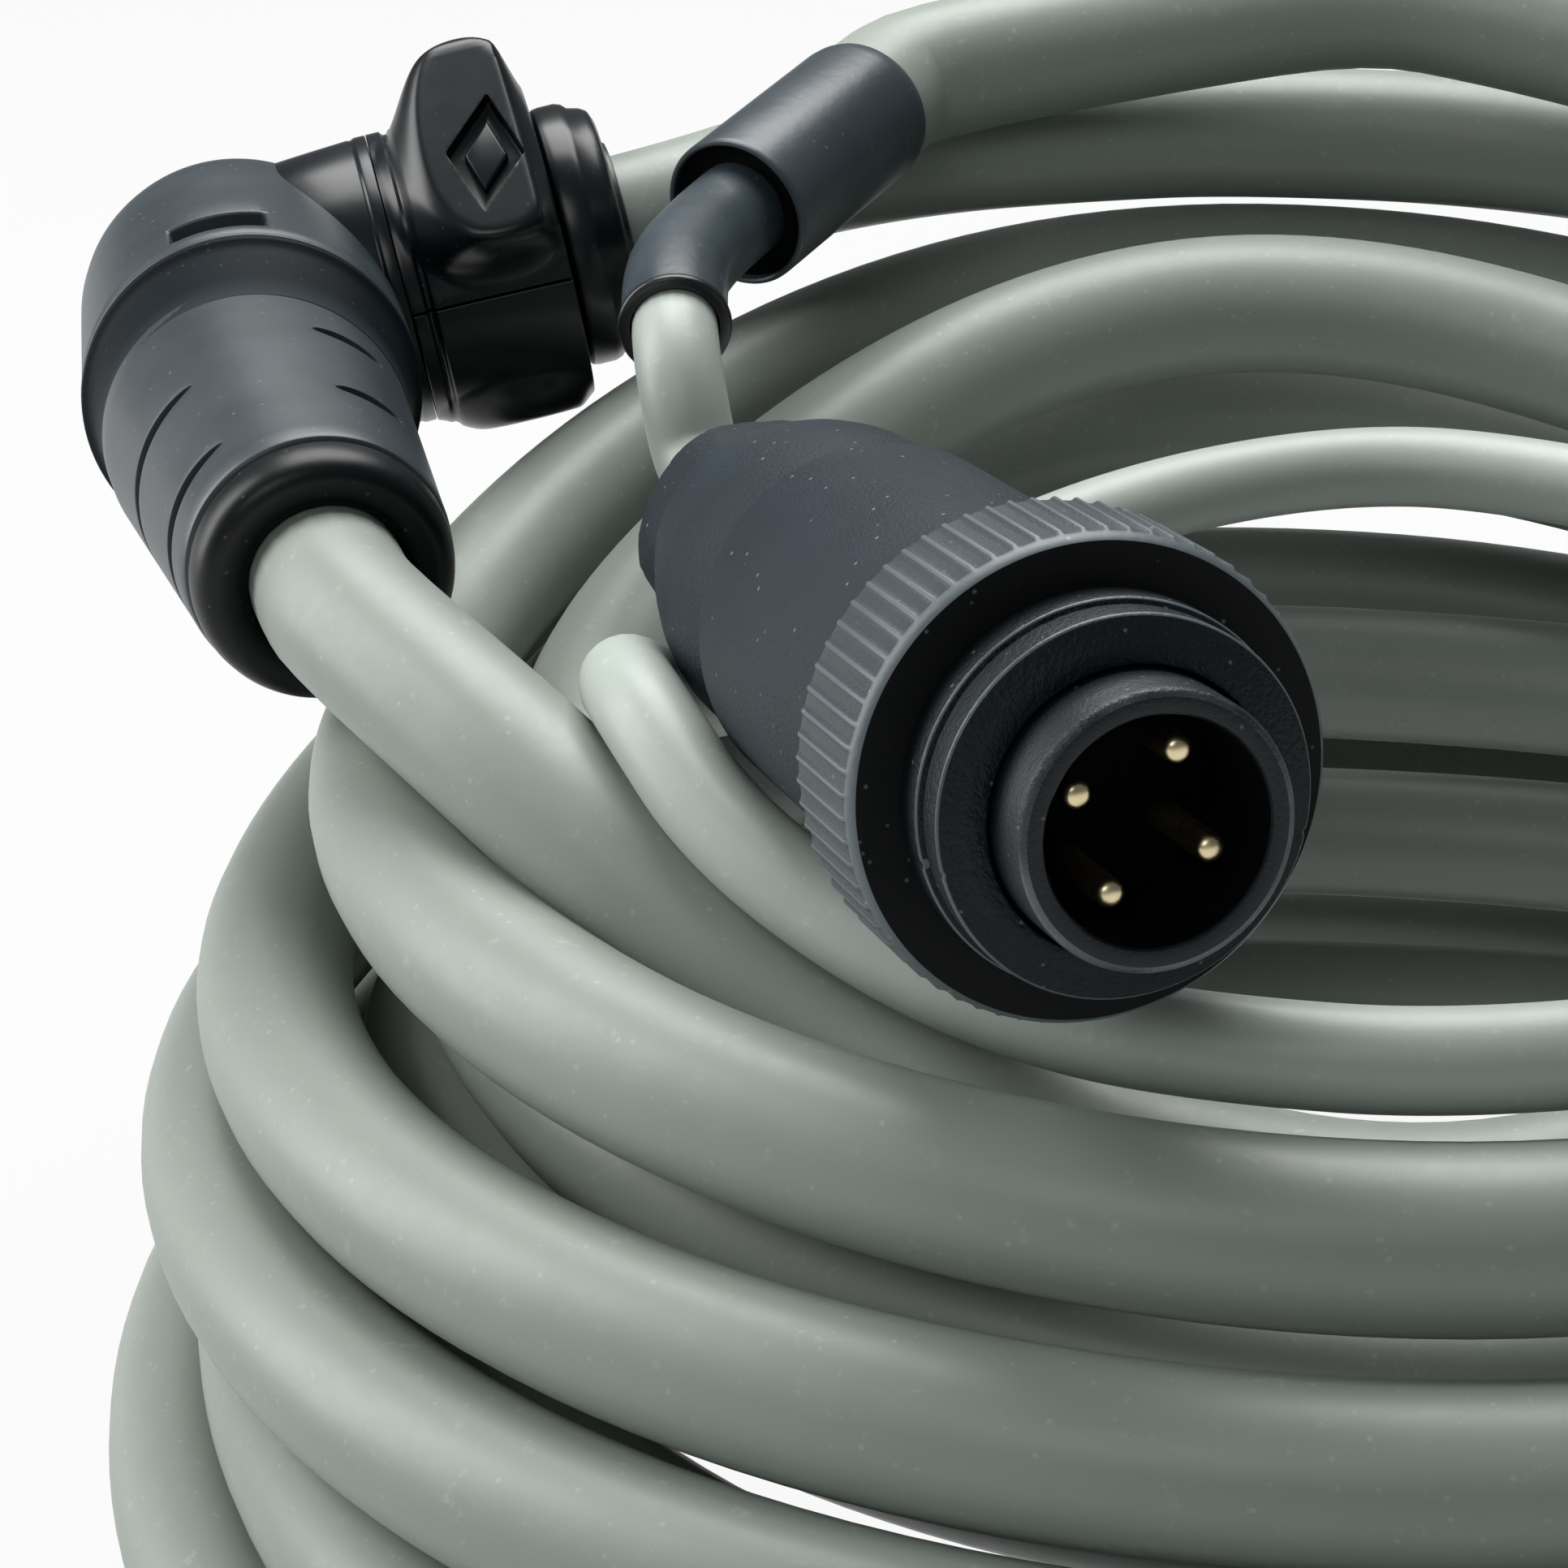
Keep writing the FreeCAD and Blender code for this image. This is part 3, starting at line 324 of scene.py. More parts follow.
# Lead of the inline socket: the same cable, over the far side of the pile and down its
# right, where a second reducing sleeve ends it.
NECK_END = 27.9
socket_points = [
    along(ELBOW, NECK_AXIS, NECK_END + 1.6), along(ELBOW, NECK_AXIS, NECK_END + 9.2),
    spot(-40, 66, 82), spot(-27, 70, 83.4), spot(-13.5, 73.5, 83.6), spot(0, 75.7, 83.7),
    spot(23.6, 73.2, 83.3), spot(48.2, 66.4, 80.8), spot(71.2, 51.7, 76.2),
    spot(83.2, 35.0, 73.2), along(SPLICE, SPLICE_AXIS, SLEEVE_LENGTH + 3.0),
    along(SPLICE, SPLICE_AXIS, CORE_FAR)]
socket_cable = smooth_cord("socket_cable", socket_points, THICK, thick_grey, steps=10)
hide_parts("socket_lead")

# Thin cables: a cooler, lighter sheath of the same PVC. The branch lead runs along the
# near side and round under the plug; the short tail bends down into the plug's nut.
light_grey = sheath("light_pvc_sheath", "#a2aba3", "#b6beb8", "#939c94")
thin_points = [
    along(SPLICE, SPLICE_AXIS, CORE_NEAR), along(SPLICE, SPLICE_AXIS, -11.5),
    spot(87.0, -21.0, 74.4), spot(76.0, -31.5, 75.2), spot(59.9, -43.8, 70.8),
    spot(40.6, -56, 65), spot(20.5, -63.2, 61.2), spot(0, -65.6, 60), spot(-14.3, -63.2, 60),
    spot(-24.2, -57.3, 59.2), spot(-34.3, -49.5, 60.5), spot(-44.1, -40.4, 64.6),
    spot(-49.6, -31.2, 69.8), spot(-51.2, -21.6, 68.2), spot(-48.7, -12.4, 63.2),
    spot(-44.3, -3.5, 60.0), spot(-37, 6.5, 59.2), spot(-27, 19, 61), spot(-13, 30, 63.5),
    spot(4, 36, 65), spot(18, 33.5, 65.5), spot(30, 24, 65.5)]
thin_cable = smooth_cord("thin_cable", thin_points, THIN, light_grey, steps=12)
FERRULES = ["core_ferrule_1", "core_ferrule_2", "core_ferrule_3"]
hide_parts("thin_lead")

PLUG_AXIS = Vector(joints["coupling_ring_turn"]["axis"])
PLUG = Vector(joints["coupling_ring_turn"]["pos_m"]) + PLUG_AXIS * 5.0 * MM
NUT_END, TAIL_SEAT = 74.3, 66.3
tail_route = [along(JOINT, JOINT_AXIS, CORE_NEAR), along(JOINT, JOINT_AXIS, -3.0),
              spot(-48.0, 26.0, 84.4), spot(-48.4, 19.5, 83.9)]
tail_points = tail_route + [spot(-48.0, 9.5, 81.4), along(PLUG, PLUG_AXIS, -NUT_END - 5.4),
                            along(PLUG, PLUG_AXIS, -TAIL_SEAT)]
tail_cable = smooth_cord("tail_cable", tail_points, THIN, light_grey, steps=12)
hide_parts("pigtail")


def seat(origin, axis, side=(0, 0, 1)):
    """Place whose Z runs along the axis, with X as near as can be to side."""
    z = Vector(axis).normalized()
    y = z.cross(Vector(side)).normalized()
    x = y.cross(z)
    turn = Matrix((x, y, z)).transposed().to_4x4()
    return Matrix.Translation(Vector(origin)) @ turn


def turned(name, profile, sides=96, ring=False):
    """A round piece drawn out of a circle, through (radius, height) pairs in millimetres."""
    select_only()
    bpy.ops.mesh.primitive_circle_add(vertices=sides, radius=profile[0][0] * MM,
                                      location=(0, 0, profile[0][1] * MM))
    piece = bpy.context.object
    piece.name = name
    bpy.ops.object.transform_apply(location=True, rotation=False, scale=False)
    bpy.ops.object.mode_set(mode="EDIT")
    bpy.ops.mesh.select_mode(type="VERT")
    bpy.ops.mesh.select_all(action="SELECT")
    for (r, z), (r_next, z_next) in zip(profile, profile[1:]):
        bpy.ops.mesh.extrude_region_move(
            TRANSFORM_OT_translate={"value": (0, 0, (z_next - z) * MM)})
        bpy.ops.transform.resize(value=(r_next / r, r_next / r, 1))
    if ring:
        bpy.ops.mesh.select_all(action="DESELECT")
        bpy.ops.mesh.select_non_manifold()
        bpy.ops.mesh.bridge_edge_loops()
    else:
        bpy.ops.mesh.select_all(action="SELECT")
        bpy.ops.mesh.fill_holes(sides=0)
    bpy.ops.mesh.select_all(action="SELECT")
    bpy.ops.mesh.normals_make_consistent(inside=False)
    bpy.ops.object.mode_set(mode="OBJECT")
    return piece


def pick_faces(piece, wanted):
    """Goes into edit mode with just the faces that pass the test selected."""
    select_only(piece)
    bpy.ops.object.mode_set(mode="EDIT")
    bpy.ops.mesh.select_mode(type="FACE")
    bpy.ops.mesh.select_all(action="DESELECT")
    bpy.ops.object.mode_set(mode="OBJECT")
    for face in piece.data.polygons:
        face.select = wanted(face.center / MM, face.normal)
    bpy.ops.object.mode_set(mode="EDIT")


def finished(piece, place, materials, nodes, edge=0.2, body="cord"):
    """Rounds the edges, puts the piece in its place and hands it to its body."""
    select_only(piece)
    for material in materials:
        piece.data.materials.append(material)
    if edge:
        rounding = piece.modifiers.new("edges", "BEVEL")
        rounding.width = edge * MM
        rounding.segments = 3
        rounding.limit_method = "ANGLE"
        rounding.angle_limit = math.radians(32)
        rounding.use_clamp_overlap = True
        bpy.ops.object.modifier_apply(modifier="edges")
    bpy.ops.object.shade_smooth_by_angle(angle=math.radians(38))
    piece.data.transform(place)
    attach(piece, body)
    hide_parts(*nodes)


# Rear body of the four-pin plug: glass-filled polyamide, moulded with a spark-eroded grain
# that is dull to the eye and holds pale dust. It screws together behind the coupling ring.
def moulding(name, body, pale, rough, grain, depth, dust, patch=0.35, sheen=0.5):
    material, shader = blank_material(name)
    place = add(material, "ShaderNodeTexCoord").outputs["Object"]
    broad = add(material, "ShaderNodeTexNoise", {"Vector": place}, Scale=per_mm(11), Detail=4.0)
    worn = spread(material, broad.outputs["Fac"], 0.0, patch, From_Min=0.42, From_Max=0.75)
    tone = add(material, "ShaderNodeMixRGB", {"Fac": worn},
               Color1=linear(body), Color2=linear(pale))
    dusty = dusted(material, place, tone.outputs[0], "#a4abae", dust, 1.5, 0.04, 0.11)
    link(material, dusty, shader.inputs["Base Color"])
    gloss = spread(material, broad.outputs["Fac"], rough - 0.06, rough + 0.10)
    link(material, gloss, shader.inputs["Roughness"])
    spark = add(material, "ShaderNodeTexNoise", {"Vector": place}, Scale=per_mm(grain),
                Detail=2.0, Roughness=0.6)
    relief = add(material, "ShaderNodeBump", {"Height": spark.outputs["Fac"]}, Strength=0.5)
    relief.inputs["Distance"].default_value = depth
    link(material, relief.outputs[0], shader.inputs["Normal"])
    shader.inputs["IOR"].default_value = 1.52
    shader.inputs["Specular IOR Level"].default_value = sheen
    return material


grained_slate = moulding("grained_polyamide", "#1c262d", "#2a363e", rough=0.52, grain=0.26,
                         depth=0.00030, dust=0.5, sheen=0.2)
PLUG_PLACE = seat(PLUG, PLUG_AXIS)
plug_rear = turned("plug_rear_body", [
    (8.4, -1.9), (11.1, -1.9), (11.1, -10.1), (12.15, -10.1), (12.2, -24.0), (12.15, -38.3),
    (12.02, -38.8), (11.7, -39.2), (11.2, -39.5), (10.95, -40.0), (11.02, -41.2), (11.4, -43.8),
    (11.45, -46.0), (11.4, -50.0), (11.05, -52.5), (10.4, -55.5), (9.2, -60.0), (6.2, -60.0),
    (6.2, -58.0), (8.4, -56.0)], ring=True)
finished(plug_rear, PLUG_PLACE, [grained_slate], ["plug_body"])

# Gland nut: the same moulding, six flats pressed on a round blank, drawn in to the cable.
# It squeezes the rubber seal round the thin cable.
NUT_FLAT = 8.25
nut = turned("plug_gland_nut", [
    (5.6, -60.0), (8.5, -60.0), (8.9, -60.4), (8.9, -63.0), (8.9, -65.4), (8.6, -66.2),
    (8.1, -67.2), (7.2, -69.6), (6.4, -72.0), (5.9, -73.6), (5.3, -74.25), (3.75, -74.3),
    (3.6, -73.9), (3.6, -69.8), (5.6, -69.8)], ring=True)
for k in range(6):
    flat = Vector((math.cos(math.radians(60 * k)), math.sin(math.radians(60 * k)), 0))
    for vertex in nut.data.vertices:
        over = vertex.co.dot(flat) - NUT_FLAT * MM
        if over > 0:
            vertex.co -= flat * over
finished(nut, PLUG_PLACE, [grained_slate], ["plug_nut"], edge=0.25)

# Coupling ring: the same polyamide, with shallow flutes between thin ridges for the fingers
# and a narrow chamfer in front, both rubbed pale; its front face and bore are painted near
# black as shade. It turns freely on the body and takes the thread.
FLUTES, PER_FLUTE = 66, 10
RIDGE_TOP, FLUTE_DIP, FLUTE_HOLLOW = 14.64, 0.22, 0.05
ring_slate = moulding("grip_polyamide", "#293237", "#3b454b", rough=0.50, grain=0.26,
                      depth=0.00015, dust=0.4)
worn_slate = moulding("rubbed_polyamide", "#4d565a", "#70797d", rough=0.45, grain=0.6,
                      depth=0.00005, dust=0.5)
# Painted shade: the ring's front face and bore are painted near black
ring_face_painted_shade = moulding("dead_black_face", "#040607", "#0b0e10", rough=0.70, grain=0.5,
                      depth=0.00005, dust=0.30, sheen=0.18)
ring = turned("plug_ring", [
    (10.75, 0.0), (14.05, 0.0), (14.14, -0.08), (14.4, -0.5), (14.44, -0.85),
    (RIDGE_TOP, -1.15), (RIDGE_TOP, -9.3), (14.3, -9.8), (11.15, -9.8), (11.15, -1.5),
    (10.75, -1.5)], sides=FLUTES * PER_FLUTE, ring=True)


def eased(share):
    """A share from 0 to 1 that starts and ends slowly."""
    share = min(max(share, 0.0), 1.0)
    return share * share * (3 - 2 * share)


def off_ridge(at):
    """Distance round the ring to the nearest ridge, as a share of one flute."""
    share = math.atan2(at.y, at.x) / (2 * math.pi) * FLUTES % 1.0
    return min(share, 1.0 - share)


for vertex in ring.data.vertices:
    if vertex.co.xy.length > (RIDGE_TOP - 0.04) * MM:
        off = off_ridge(vertex.co)
        dip = FLUTE_DIP * eased((off - 0.04) / 0.22) + FLUTE_HOLLOW * math.sin(math.pi * off)
        vertex.co.xy *= 1 - dip / RIDGE_TOP
for face in ring.data.polygons:
    # 0 is the grip, 1 what fingers have rubbed, 2 the front face and the bore, painted black as
    # shade
    r, z = face.center.xy.length / MM, face.center.z / MM
    chamfer = r > 14.06 and z > -0.7
    face.material_index = 1 if chamfer or (r > 14.5 and off_ridge(face.center) < 0.06) else 0
    if r < 14.06 and z > -9.0:
        face.material_index = 2
finished(ring, PLUG_PLACE, [ring_slate, worn_slate, ring_face_painted_shade],
         ["plug_coupling_ring"], edge=0, body="coupling_ring")

# Front of the plug: a stepped collar and the tube round the pins, both a harder, darker
# moulding with a coarse grain. The steps' edges are rubbed pale and carry a painted highlight,
# the tube's rim is rubbed pale, and two parting lines of the mould run along the collar's
# sides.
hard_black = moulding("hard_black_moulding", "#0b1318", "#17222a", rough=0.50, grain=0.35,
                      depth=0.00030, dust=0.30, sheen=0.2)
# Partly wear, partly painted highlight: the pale colour of the collar's step edges
step_edge_wear_and_highlight = moulding("rubbed_and_highlit_edges", "#3a444a", "#68747b", rough=0.42, grain=0.4,
                      depth=0.00010, dust=0.2, patch=0.8)
tube_black = moulding("tube_black_moulding", "#11191d", "#202a30", rough=0.46, grain=0.3,
                      depth=0.00009, dust=0.30, sheen=0.28)
rubbed_rim = moulding("rubbed_rim", "#1b2226", "#9aa1a5", rough=0.42, grain=0.3,
                      depth=0.00016, dust=0.4, patch=0.7)
collar = turned("plug_stepped_collar", [
    (8.2, -1.9), (10.6, -1.9), (10.6, 0.12), (11.4, 0.12), (11.45, 0.2), (11.45, 2.5),
    (11.42, 2.6), (11.33, 2.68), (11.08, 2.74), (11.05, 2.8), (11.1, 3.2), (11.15, 5.05),
    (11.1, 5.17), (11.0, 5.25), (10.85, 5.3), (9.7, 5.68), (9.6, 5.74), (8.6, 5.98),
    (8.45, 5.92), (8.4, 5.75), (8.4, 1.5), (8.2, 1.5)], sides=240, ring=True)
PARTING_TURN, PARTING_HALF, PARTING_DEPTH = 103.5, 0.6, 0.06
for vertex in collar.data.vertices:
    parting = abs(math.degrees(math.atan2(vertex.co.y, vertex.co.x))) - PARTING_TURN
    outside = vertex.co.xy.length > 8.55 * MM and vertex.co.z > 0.15 * MM
    if outside and abs(parting) < PARTING_HALF:
        vertex.co.xy *= 0.991
        vertex.co.z -= PARTING_DEPTH * MM
for face in collar.data.polygons:
    # The edges of the two steps are rubbed, and painted pale as a highlight too
    r, z = face.center.xy.length / MM, face.center.z / MM
    face.material_index = int(r > 10.95 and (2.52 < z < 2.7 or 5.07 < z < 5.26))
finished(collar, PLUG_PLACE, [hard_black, step_edge_wear_and_highlight], ["plug_collar"], edge=0)
# Painted shade: near black for the shade deep in the bore, on the insulator, the clip and the
# sleeves' cores
well_painted_shade = moulding("well_painted_shade", "#010202", "#040506", rough=0.80, grain=0.5,
                      depth=0.00004, dust=0.02, sheen=0.08)
shroud = turned("plug_pin_tube", [
    (6.6, -1.9), (8.15, -1.9), (8.15, 5.4), (8.12, 5.6), (8.12, 9.55), (8.06, 9.8),
    (7.9, 9.97), (7.65, 10.05), (7.0, 10.08), (6.75, 10.02), (6.62, 9.85), (6.6, 9.6)],
    ring=True)
# Index 2, the bore's wall, takes the painted shade
for face in shroud.data.polygons:
    r, z = face.center.xy.length / MM, face.center.z / MM
    face.material_index = 1 if z > 9.7 and r > 7.75 else 2 if r < 6.68 else 0
finished(shroud, PLUG_PLACE, [tube_black, rubbed_rim, well_painted_shade],
         ["plug_shroud"], edge=0)
# The insulator and the clip deep in the bore are painted near black as shade
for node in ("plug_insulator", "plug_clip"):
    dress(node, well_painted_shade)

# Contact pins: turned brass, gold plated, with domed tips. The plating is satin and wears
# a little duller where the contacts slide.
gold, gold_shader = blank_material("gold_plated_brass")
where = add(gold, "ShaderNodeTexCoord").outputs["Object"]
slid = add(gold, "ShaderNodeTexNoise", {"Vector": where}, Scale=per_mm(0.7), Detail=4.0)
tint = add(gold, "ShaderNodeMixRGB", {"Fac": slid.outputs["Fac"]},
           Color1=linear("#c9b37c"), Color2=linear("#f1e6c4"))
link(gold, tint.outputs[0], gold_shader.inputs["Base Color"])
dull = spread(gold, slid.outputs["Fac"], 0.22, 0.42)
link(gold, dull, gold_shader.inputs["Roughness"])
gold_shader.inputs["Metallic"].default_value = 1.0
PIN_TURN, PIN_REACH = 63.0, 4.4
first_pin = turned("plug_contact_1", [
    (0.97, -6.4), (0.97, -1.95), (0.85, -1.95), (0.85, 7.5), (0.83, 7.75), (0.74, 7.95),
    (0.55, 8.1), (0.3, 8.18), (0.1, 8.2)], sides=32)
for k in range(4):
    pin = first_pin if k == 3 else first_pin.copy()
    if k != 3:
        pin.data = first_pin.data.copy()
        bpy.context.collection.objects.link(pin)
    pin.name = "plug_contact_%d" % (k + 1)
    around = Matrix.Rotation(math.radians(PIN_TURN + 90 * k), 4, "Z")
    finished(pin, PLUG_PLACE @ around @ Matrix.Translation((PIN_REACH * MM, 0, 0)), [gold],
             ["plug_pin_%d" % (k + 1)], edge=0)

# Reducing sleeves: soft black moulded tubes with rounded far ends that grip the thick
# cable, open towards the thin one. One ends the coil, the other joins the branch lead.
soft_black = moulding("soft_black_moulding", "#0b0e11", "#1c2126", rough=0.34, grain=1.2,
                      depth=0.00005, dust=0.2)
soft_slate = moulding("soft_slate_moulding", "#2b353b", "#4b5860", rough=0.36, grain=1.2,
                      depth=0.00006, dust=0.25)
sleeve_profile = [
    (5.8, 0.05), (5.95, -0.05), (6.15, 0.0), (6.28, 0.2), (6.3, 0.6), (6.3, 19.6),
    (6.2, 20.5), (6.02, 21.1), (5.82, 21.4), (5.78, 21.2), (5.78, 0.4)]
# The cores inside the sleeves are painted near black as shade
for name, origin, axis in (("junction", JOINT, JOINT_AXIS), ("splice", SPLICE, SPLICE_AXIS)):
    sleeve = turned(name + "_reducing_sleeve", sleeve_profile, ring=True)
    finished(sleeve, seat(origin, axis), [soft_slate], [name + "_sleeve"], edge=0)
    dress(name + "_core", well_painted_shade)

# Tail sleeve: a short soft tube pushed over the thin cable where it leaves the junction.
# It bends with the cable, and a thin black bead stiffens its open end.
TAIL_WALL, TAIL_RIM = 4.05, 3.4
TAIL_END = spot(-48.2, 14.7, 82.7)
tail = smooth_cord("tail_path", tail_route + [TAIL_END], 2 * TAIL_WALL, soft_slate,
                   sides=12, steps=12)
tail.data.use_fill_caps = False
select_only(tail)
bpy.ops.object.convert(target="MESH")
tail = bpy.context.object
tail.name = "junction_tail_sleeve"
wall = tail.modifiers.new("wall", "SOLIDIFY")
wall.thickness = (TAIL_WALL - TAIL_RIM) * MM
wall.offset = -1
bpy.ops.object.modifier_apply(modifier="wall")
bead = turned("tail_bead", [
    (3.4, -0.45), (4.1, -0.45), (4.28, -0.3), (4.33, 0.0), (4.28, 0.3), (4.1, 0.45),
    (3.4, 0.45)], sides=64, ring=True)
bead.data.materials.append(soft_black)
bead.data.transform(seat(TAIL_END, TAIL_END - tail_route[-1]))
select_only(bead, tail)
bpy.ops.object.join()
bpy.ops.object.shade_smooth_by_angle(angle=math.radians(50))
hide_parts("tail_sleeve")

# Head of the right-angle plug: one smooth slate moulding with a round back, a leg that
# ends in a raised rim, and the latch slot on top just behind that rim.
smooth_slate = moulding("smooth_slate_moulding", "#273035", "#414c52", rough=0.40, grain=2.5,
                        depth=0.00004, dust=0.25)
HEAD_PLACE = seat(ELBOW, HEAD_AXIS, NECK_AXIS)
HEAD_RADIUS, LATCH_LIP, LATCH_DEPTH = 13.4, 0.08, 1.7
back = [(HEAD_RADIUS * math.sin(math.radians(a)), -HEAD_RADIUS * math.cos(math.radians(a)))
        for a in (2, 8, 16, 24, 32, 40, 48, 56, 64, 72, 80, 88)]
head = turned("elbow_head", back + [
    (13.45, 4.0), (13.5, 9.0), (13.55, 13.3), (13.6, 17.4), (13.62, 18.6), (13.45, 18.9),
    (13.45, 19.2), (13.7, 19.5), (13.7, 20.0), (12.6, 20.0)], sides=120)
pick_faces(head, lambda at, normal: 13.4 < at.z < 17.3 and at.y > 11.5 and -3.6 < at.x < 4.6)
bpy.ops.mesh.inset(thickness=0.2 * MM, depth=-LATCH_LIP * MM)
bpy.ops.mesh.inset(thickness=0.05 * MM, depth=-LATCH_DEPTH * MM)
bpy.ops.object.mode_set(mode="OBJECT")
finished(head, HEAD_PLACE, [smooth_slate], ["elbow_housing"], edge=0.22)

# Tapered band and slotted boot: a softer over-moulding in two steps. The boot leans
# towards the cable, and rows of short slots let it bend; a soft lip closes on the cable.
# Painted shade: the band under the head's rim is painted near black for the shade it lies in
band_painted_shade = moulding("band_slate_moulding", "#0a1217", "#121b21", rough=0.58, grain=2.5,
                      depth=0.00004, dust=0.10, sheen=0.08)
# The painted shade fades along the taper into the boot's tone
where = add(band_painted_shade, "ShaderNodeTexCoord").outputs["Object"]
down = add(band_painted_shade, "ShaderNodeVectorMath", {0: where}, operation="DOT_PRODUCT")
down.inputs[1].default_value = HEAD_AXIS
SHADE_FADE_START, SHADE_FADE_END = 26.0, 31.5
shade_to_boot = spread(band_painted_shade, down.outputs["Value"], 0.0, 1.0,
              From_Min=ELBOW.dot(HEAD_AXIS) + SHADE_FADE_START * MM,
              From_Max=ELBOW.dot(HEAD_AXIS) + SHADE_FADE_END * MM)
shader = band_painted_shade.node_tree.nodes["Principled BSDF"]
shade_toned = add(band_painted_shade, "ShaderNodeMixRGB", {
    "Fac": shade_to_boot, "Color1": shader.inputs["Base Color"].links[0].from_socket},
            Color2=linear("#2b3237"))
link(band_painted_shade, shade_toned.outputs[0], shader.inputs["Base Color"])
band = turned("elbow_taper", [
    (12.4, 20.0), (13.35, 20.0), (13.62, 20.1), (13.7, 20.35), (13.6, 20.7), (13.25, 21.0),
    (12.95, 21.5), (12.7, 22.6), (12.45, 24.4), (12.25, 26.4), (12.1, 28.2), (12.05, 30.0),
    (10.8, 30.0)])
finished(band, HEAD_PLACE, [band_painted_shade], ["elbow_band"], edge=0.1)
BOOT_LENGTH, SLOT_HALF, SLOT_DEPTH = 23.1, 0.6, 1.1
BOOT_TOP, BOOT_FOOT = 12.0, 10.2
# Each slot: the middle and half of its span round the boot, and its place along it
SLOTS = [(44.0, 16.0, 6.0), (44.0, 16.0, 17.1), (155.0, 40.0, 11.0), (155.0, 40.0, 21.9),
         (275.0, 33.0, 6.0), (275.0, 33.0, 17.1)]


def boot_radius(t):
    return BOOT_TOP - (BOOT_TOP - BOOT_FOOT) * max(t, 0.0) / BOOT_LENGTH


def into_slot(at, row):
    """Place across the nearest slot's span in this row: 0 in its middle, 1 at its ends."""
    turn = math.degrees(math.atan2(at.y, at.x))
    return min([abs((turn - middle + 180) % 360 - 180) / half
                for middle, half, place in SLOTS if place == row])


slot_rows = sorted({row for middle, half, row in SLOTS})
levels = [-2.4, 0.0, 3.0]
for row in slot_rows:
    levels += [row - 1.3, row - SLOT_HALF, row + SLOT_HALF, row + 1.3]
boot = turned("elbow_flex_boot", [(11.0, -2.4)] + [(boot_radius(t), t) for t in levels] + [
    (10.1, 24.5), (10.0, 26.0), (9.85, 26.4), (9.5, 26.6), (8.6, 26.6), (8.6, 19.1),
    (5.9, 19.1)], sides=180)
for vertex in boot.data.vertices:
    for row in slot_rows:
        over = vertex.co.z / MM - row
        if abs(abs(over) - SLOT_HALF) < 0.05 and vertex.co.xy.length > 9.0 * MM:
            # The slots are leaves: widest in the middle of their span, pointed at its ends
            leaf = 0.08 + 0.62 * math.sqrt(max(1 - into_slot(vertex.co, row) ** 2, 0.0))
            vertex.co.z = (row + math.copysign(leaf, over)) * MM
            vertex.co.xy *= boot_radius(vertex.co.z / MM) / (vertex.co.xy.length / MM)
pick_faces(boot, lambda at, normal: at.xy.length > 9.0 and any(
    abs(at.z - row) < 0.3 and into_slot(at, row) < 1 for row in slot_rows))
bpy.ops.mesh.inset(thickness=0.03 * MM, depth=-SLOT_DEPTH * MM)
bpy.ops.object.mode_set(mode="OBJECT")
BOOT_PLACE = seat(BOOT, BOOT_AXIS, NECK_AXIS)
finished(boot, BOOT_PLACE, [smooth_slate], ["elbow_boot"], edge=0.06)
lip = turned("elbow_cable_lip", [
    (5.8, 19.15), (8.5, 19.15), (8.5, 26.65), (9.4, 26.65), (9.62, 26.85), (9.72, 27.3),
    (9.7, 28.2), (9.5, 29.2), (9.15, 29.95), (8.6, 30.4), (7.8, 30.6), (6.7, 30.45),
    (6.05, 30.1), (5.8, 29.6)], ring=True)
lip_black = moulding("glossy_black_lip", "#06090b", "#12181c", rough=0.36, grain=1.2,
                     depth=0.00004, dust=0.15, sheen=0.25)
finished(lip, BOOT_PLACE, [lip_black], ["elbow_grommet"], edge=0)

# Neck and locking collar: polished black polycarbonate. The collar is two half shells
# that meet at a seam and turn on the neck; a large lug with a diamond window locks it.
polished_black = moulding("polished_black_shell", "#070c10", "#10181e", rough=0.27, grain=3.0,
                          depth=0.00003, dust=0.08, sheen=0.34)
NECK_PLACE = seat(ELBOW, NECK_AXIS)
neck = turned("elbow_neck_ring", [
    (8.2, 6.0), (11.9, 6.0), (12.1, 9.0), (12.3, 12.4), (12.25, 12.6), (12.25, 12.8),
    (12.4, 13.0), (12.4, 14.02), (9.9, 14.02), (9.9, 27.0), (8.0, 27.0), (8.0, 17.0)])
finished(neck, NECK_PLACE, [polished_black], ["elbow_neck"], edge=0.25)
LUG_TURN, LUG_AT, LUG_LONG, LUG_WIDE, LUG_FACE = 43.0, 23.2, 4.6, 12.5, 15.8
KEEL_TURN, KEEL_AT, KEEL_LONG, KEEL_WIDE, KEEL_FACE = 165.0, 22.8, 4.6, 9.0, 14.2
COLLAR_START, COLLAR_END, COLLAR_BORE, COLLAR_LEVELS = 14.1, 27.7, 9.95, 48
LUG_POWER, SEAM_FADE, SEAM_HALF = 2.2, 22, 0.12
# Window and island of the lug: half length and half width of the diamond, its low and high
# ends as radii, and what it does to the shell
DIAMONDS = [(3.3, 5.7, LUG_FACE - 1.3, LUG_FACE + 6, "DIFFERENCE"),
            (1.85, 3.4, LUG_FACE - 3.0, LUG_FACE - 0.45, "UNION")]
DIAMOND_LEAN = -14


def collar_radius(z):
    """Plain ring, groove, then a slow flare to the flange."""
    if z < 15.5:
        return 12.4
    if z < 15.9:
        return 12.05
    return 12.4 + 0.6 * ((z - 15.9) / 11.4) ** 1.5


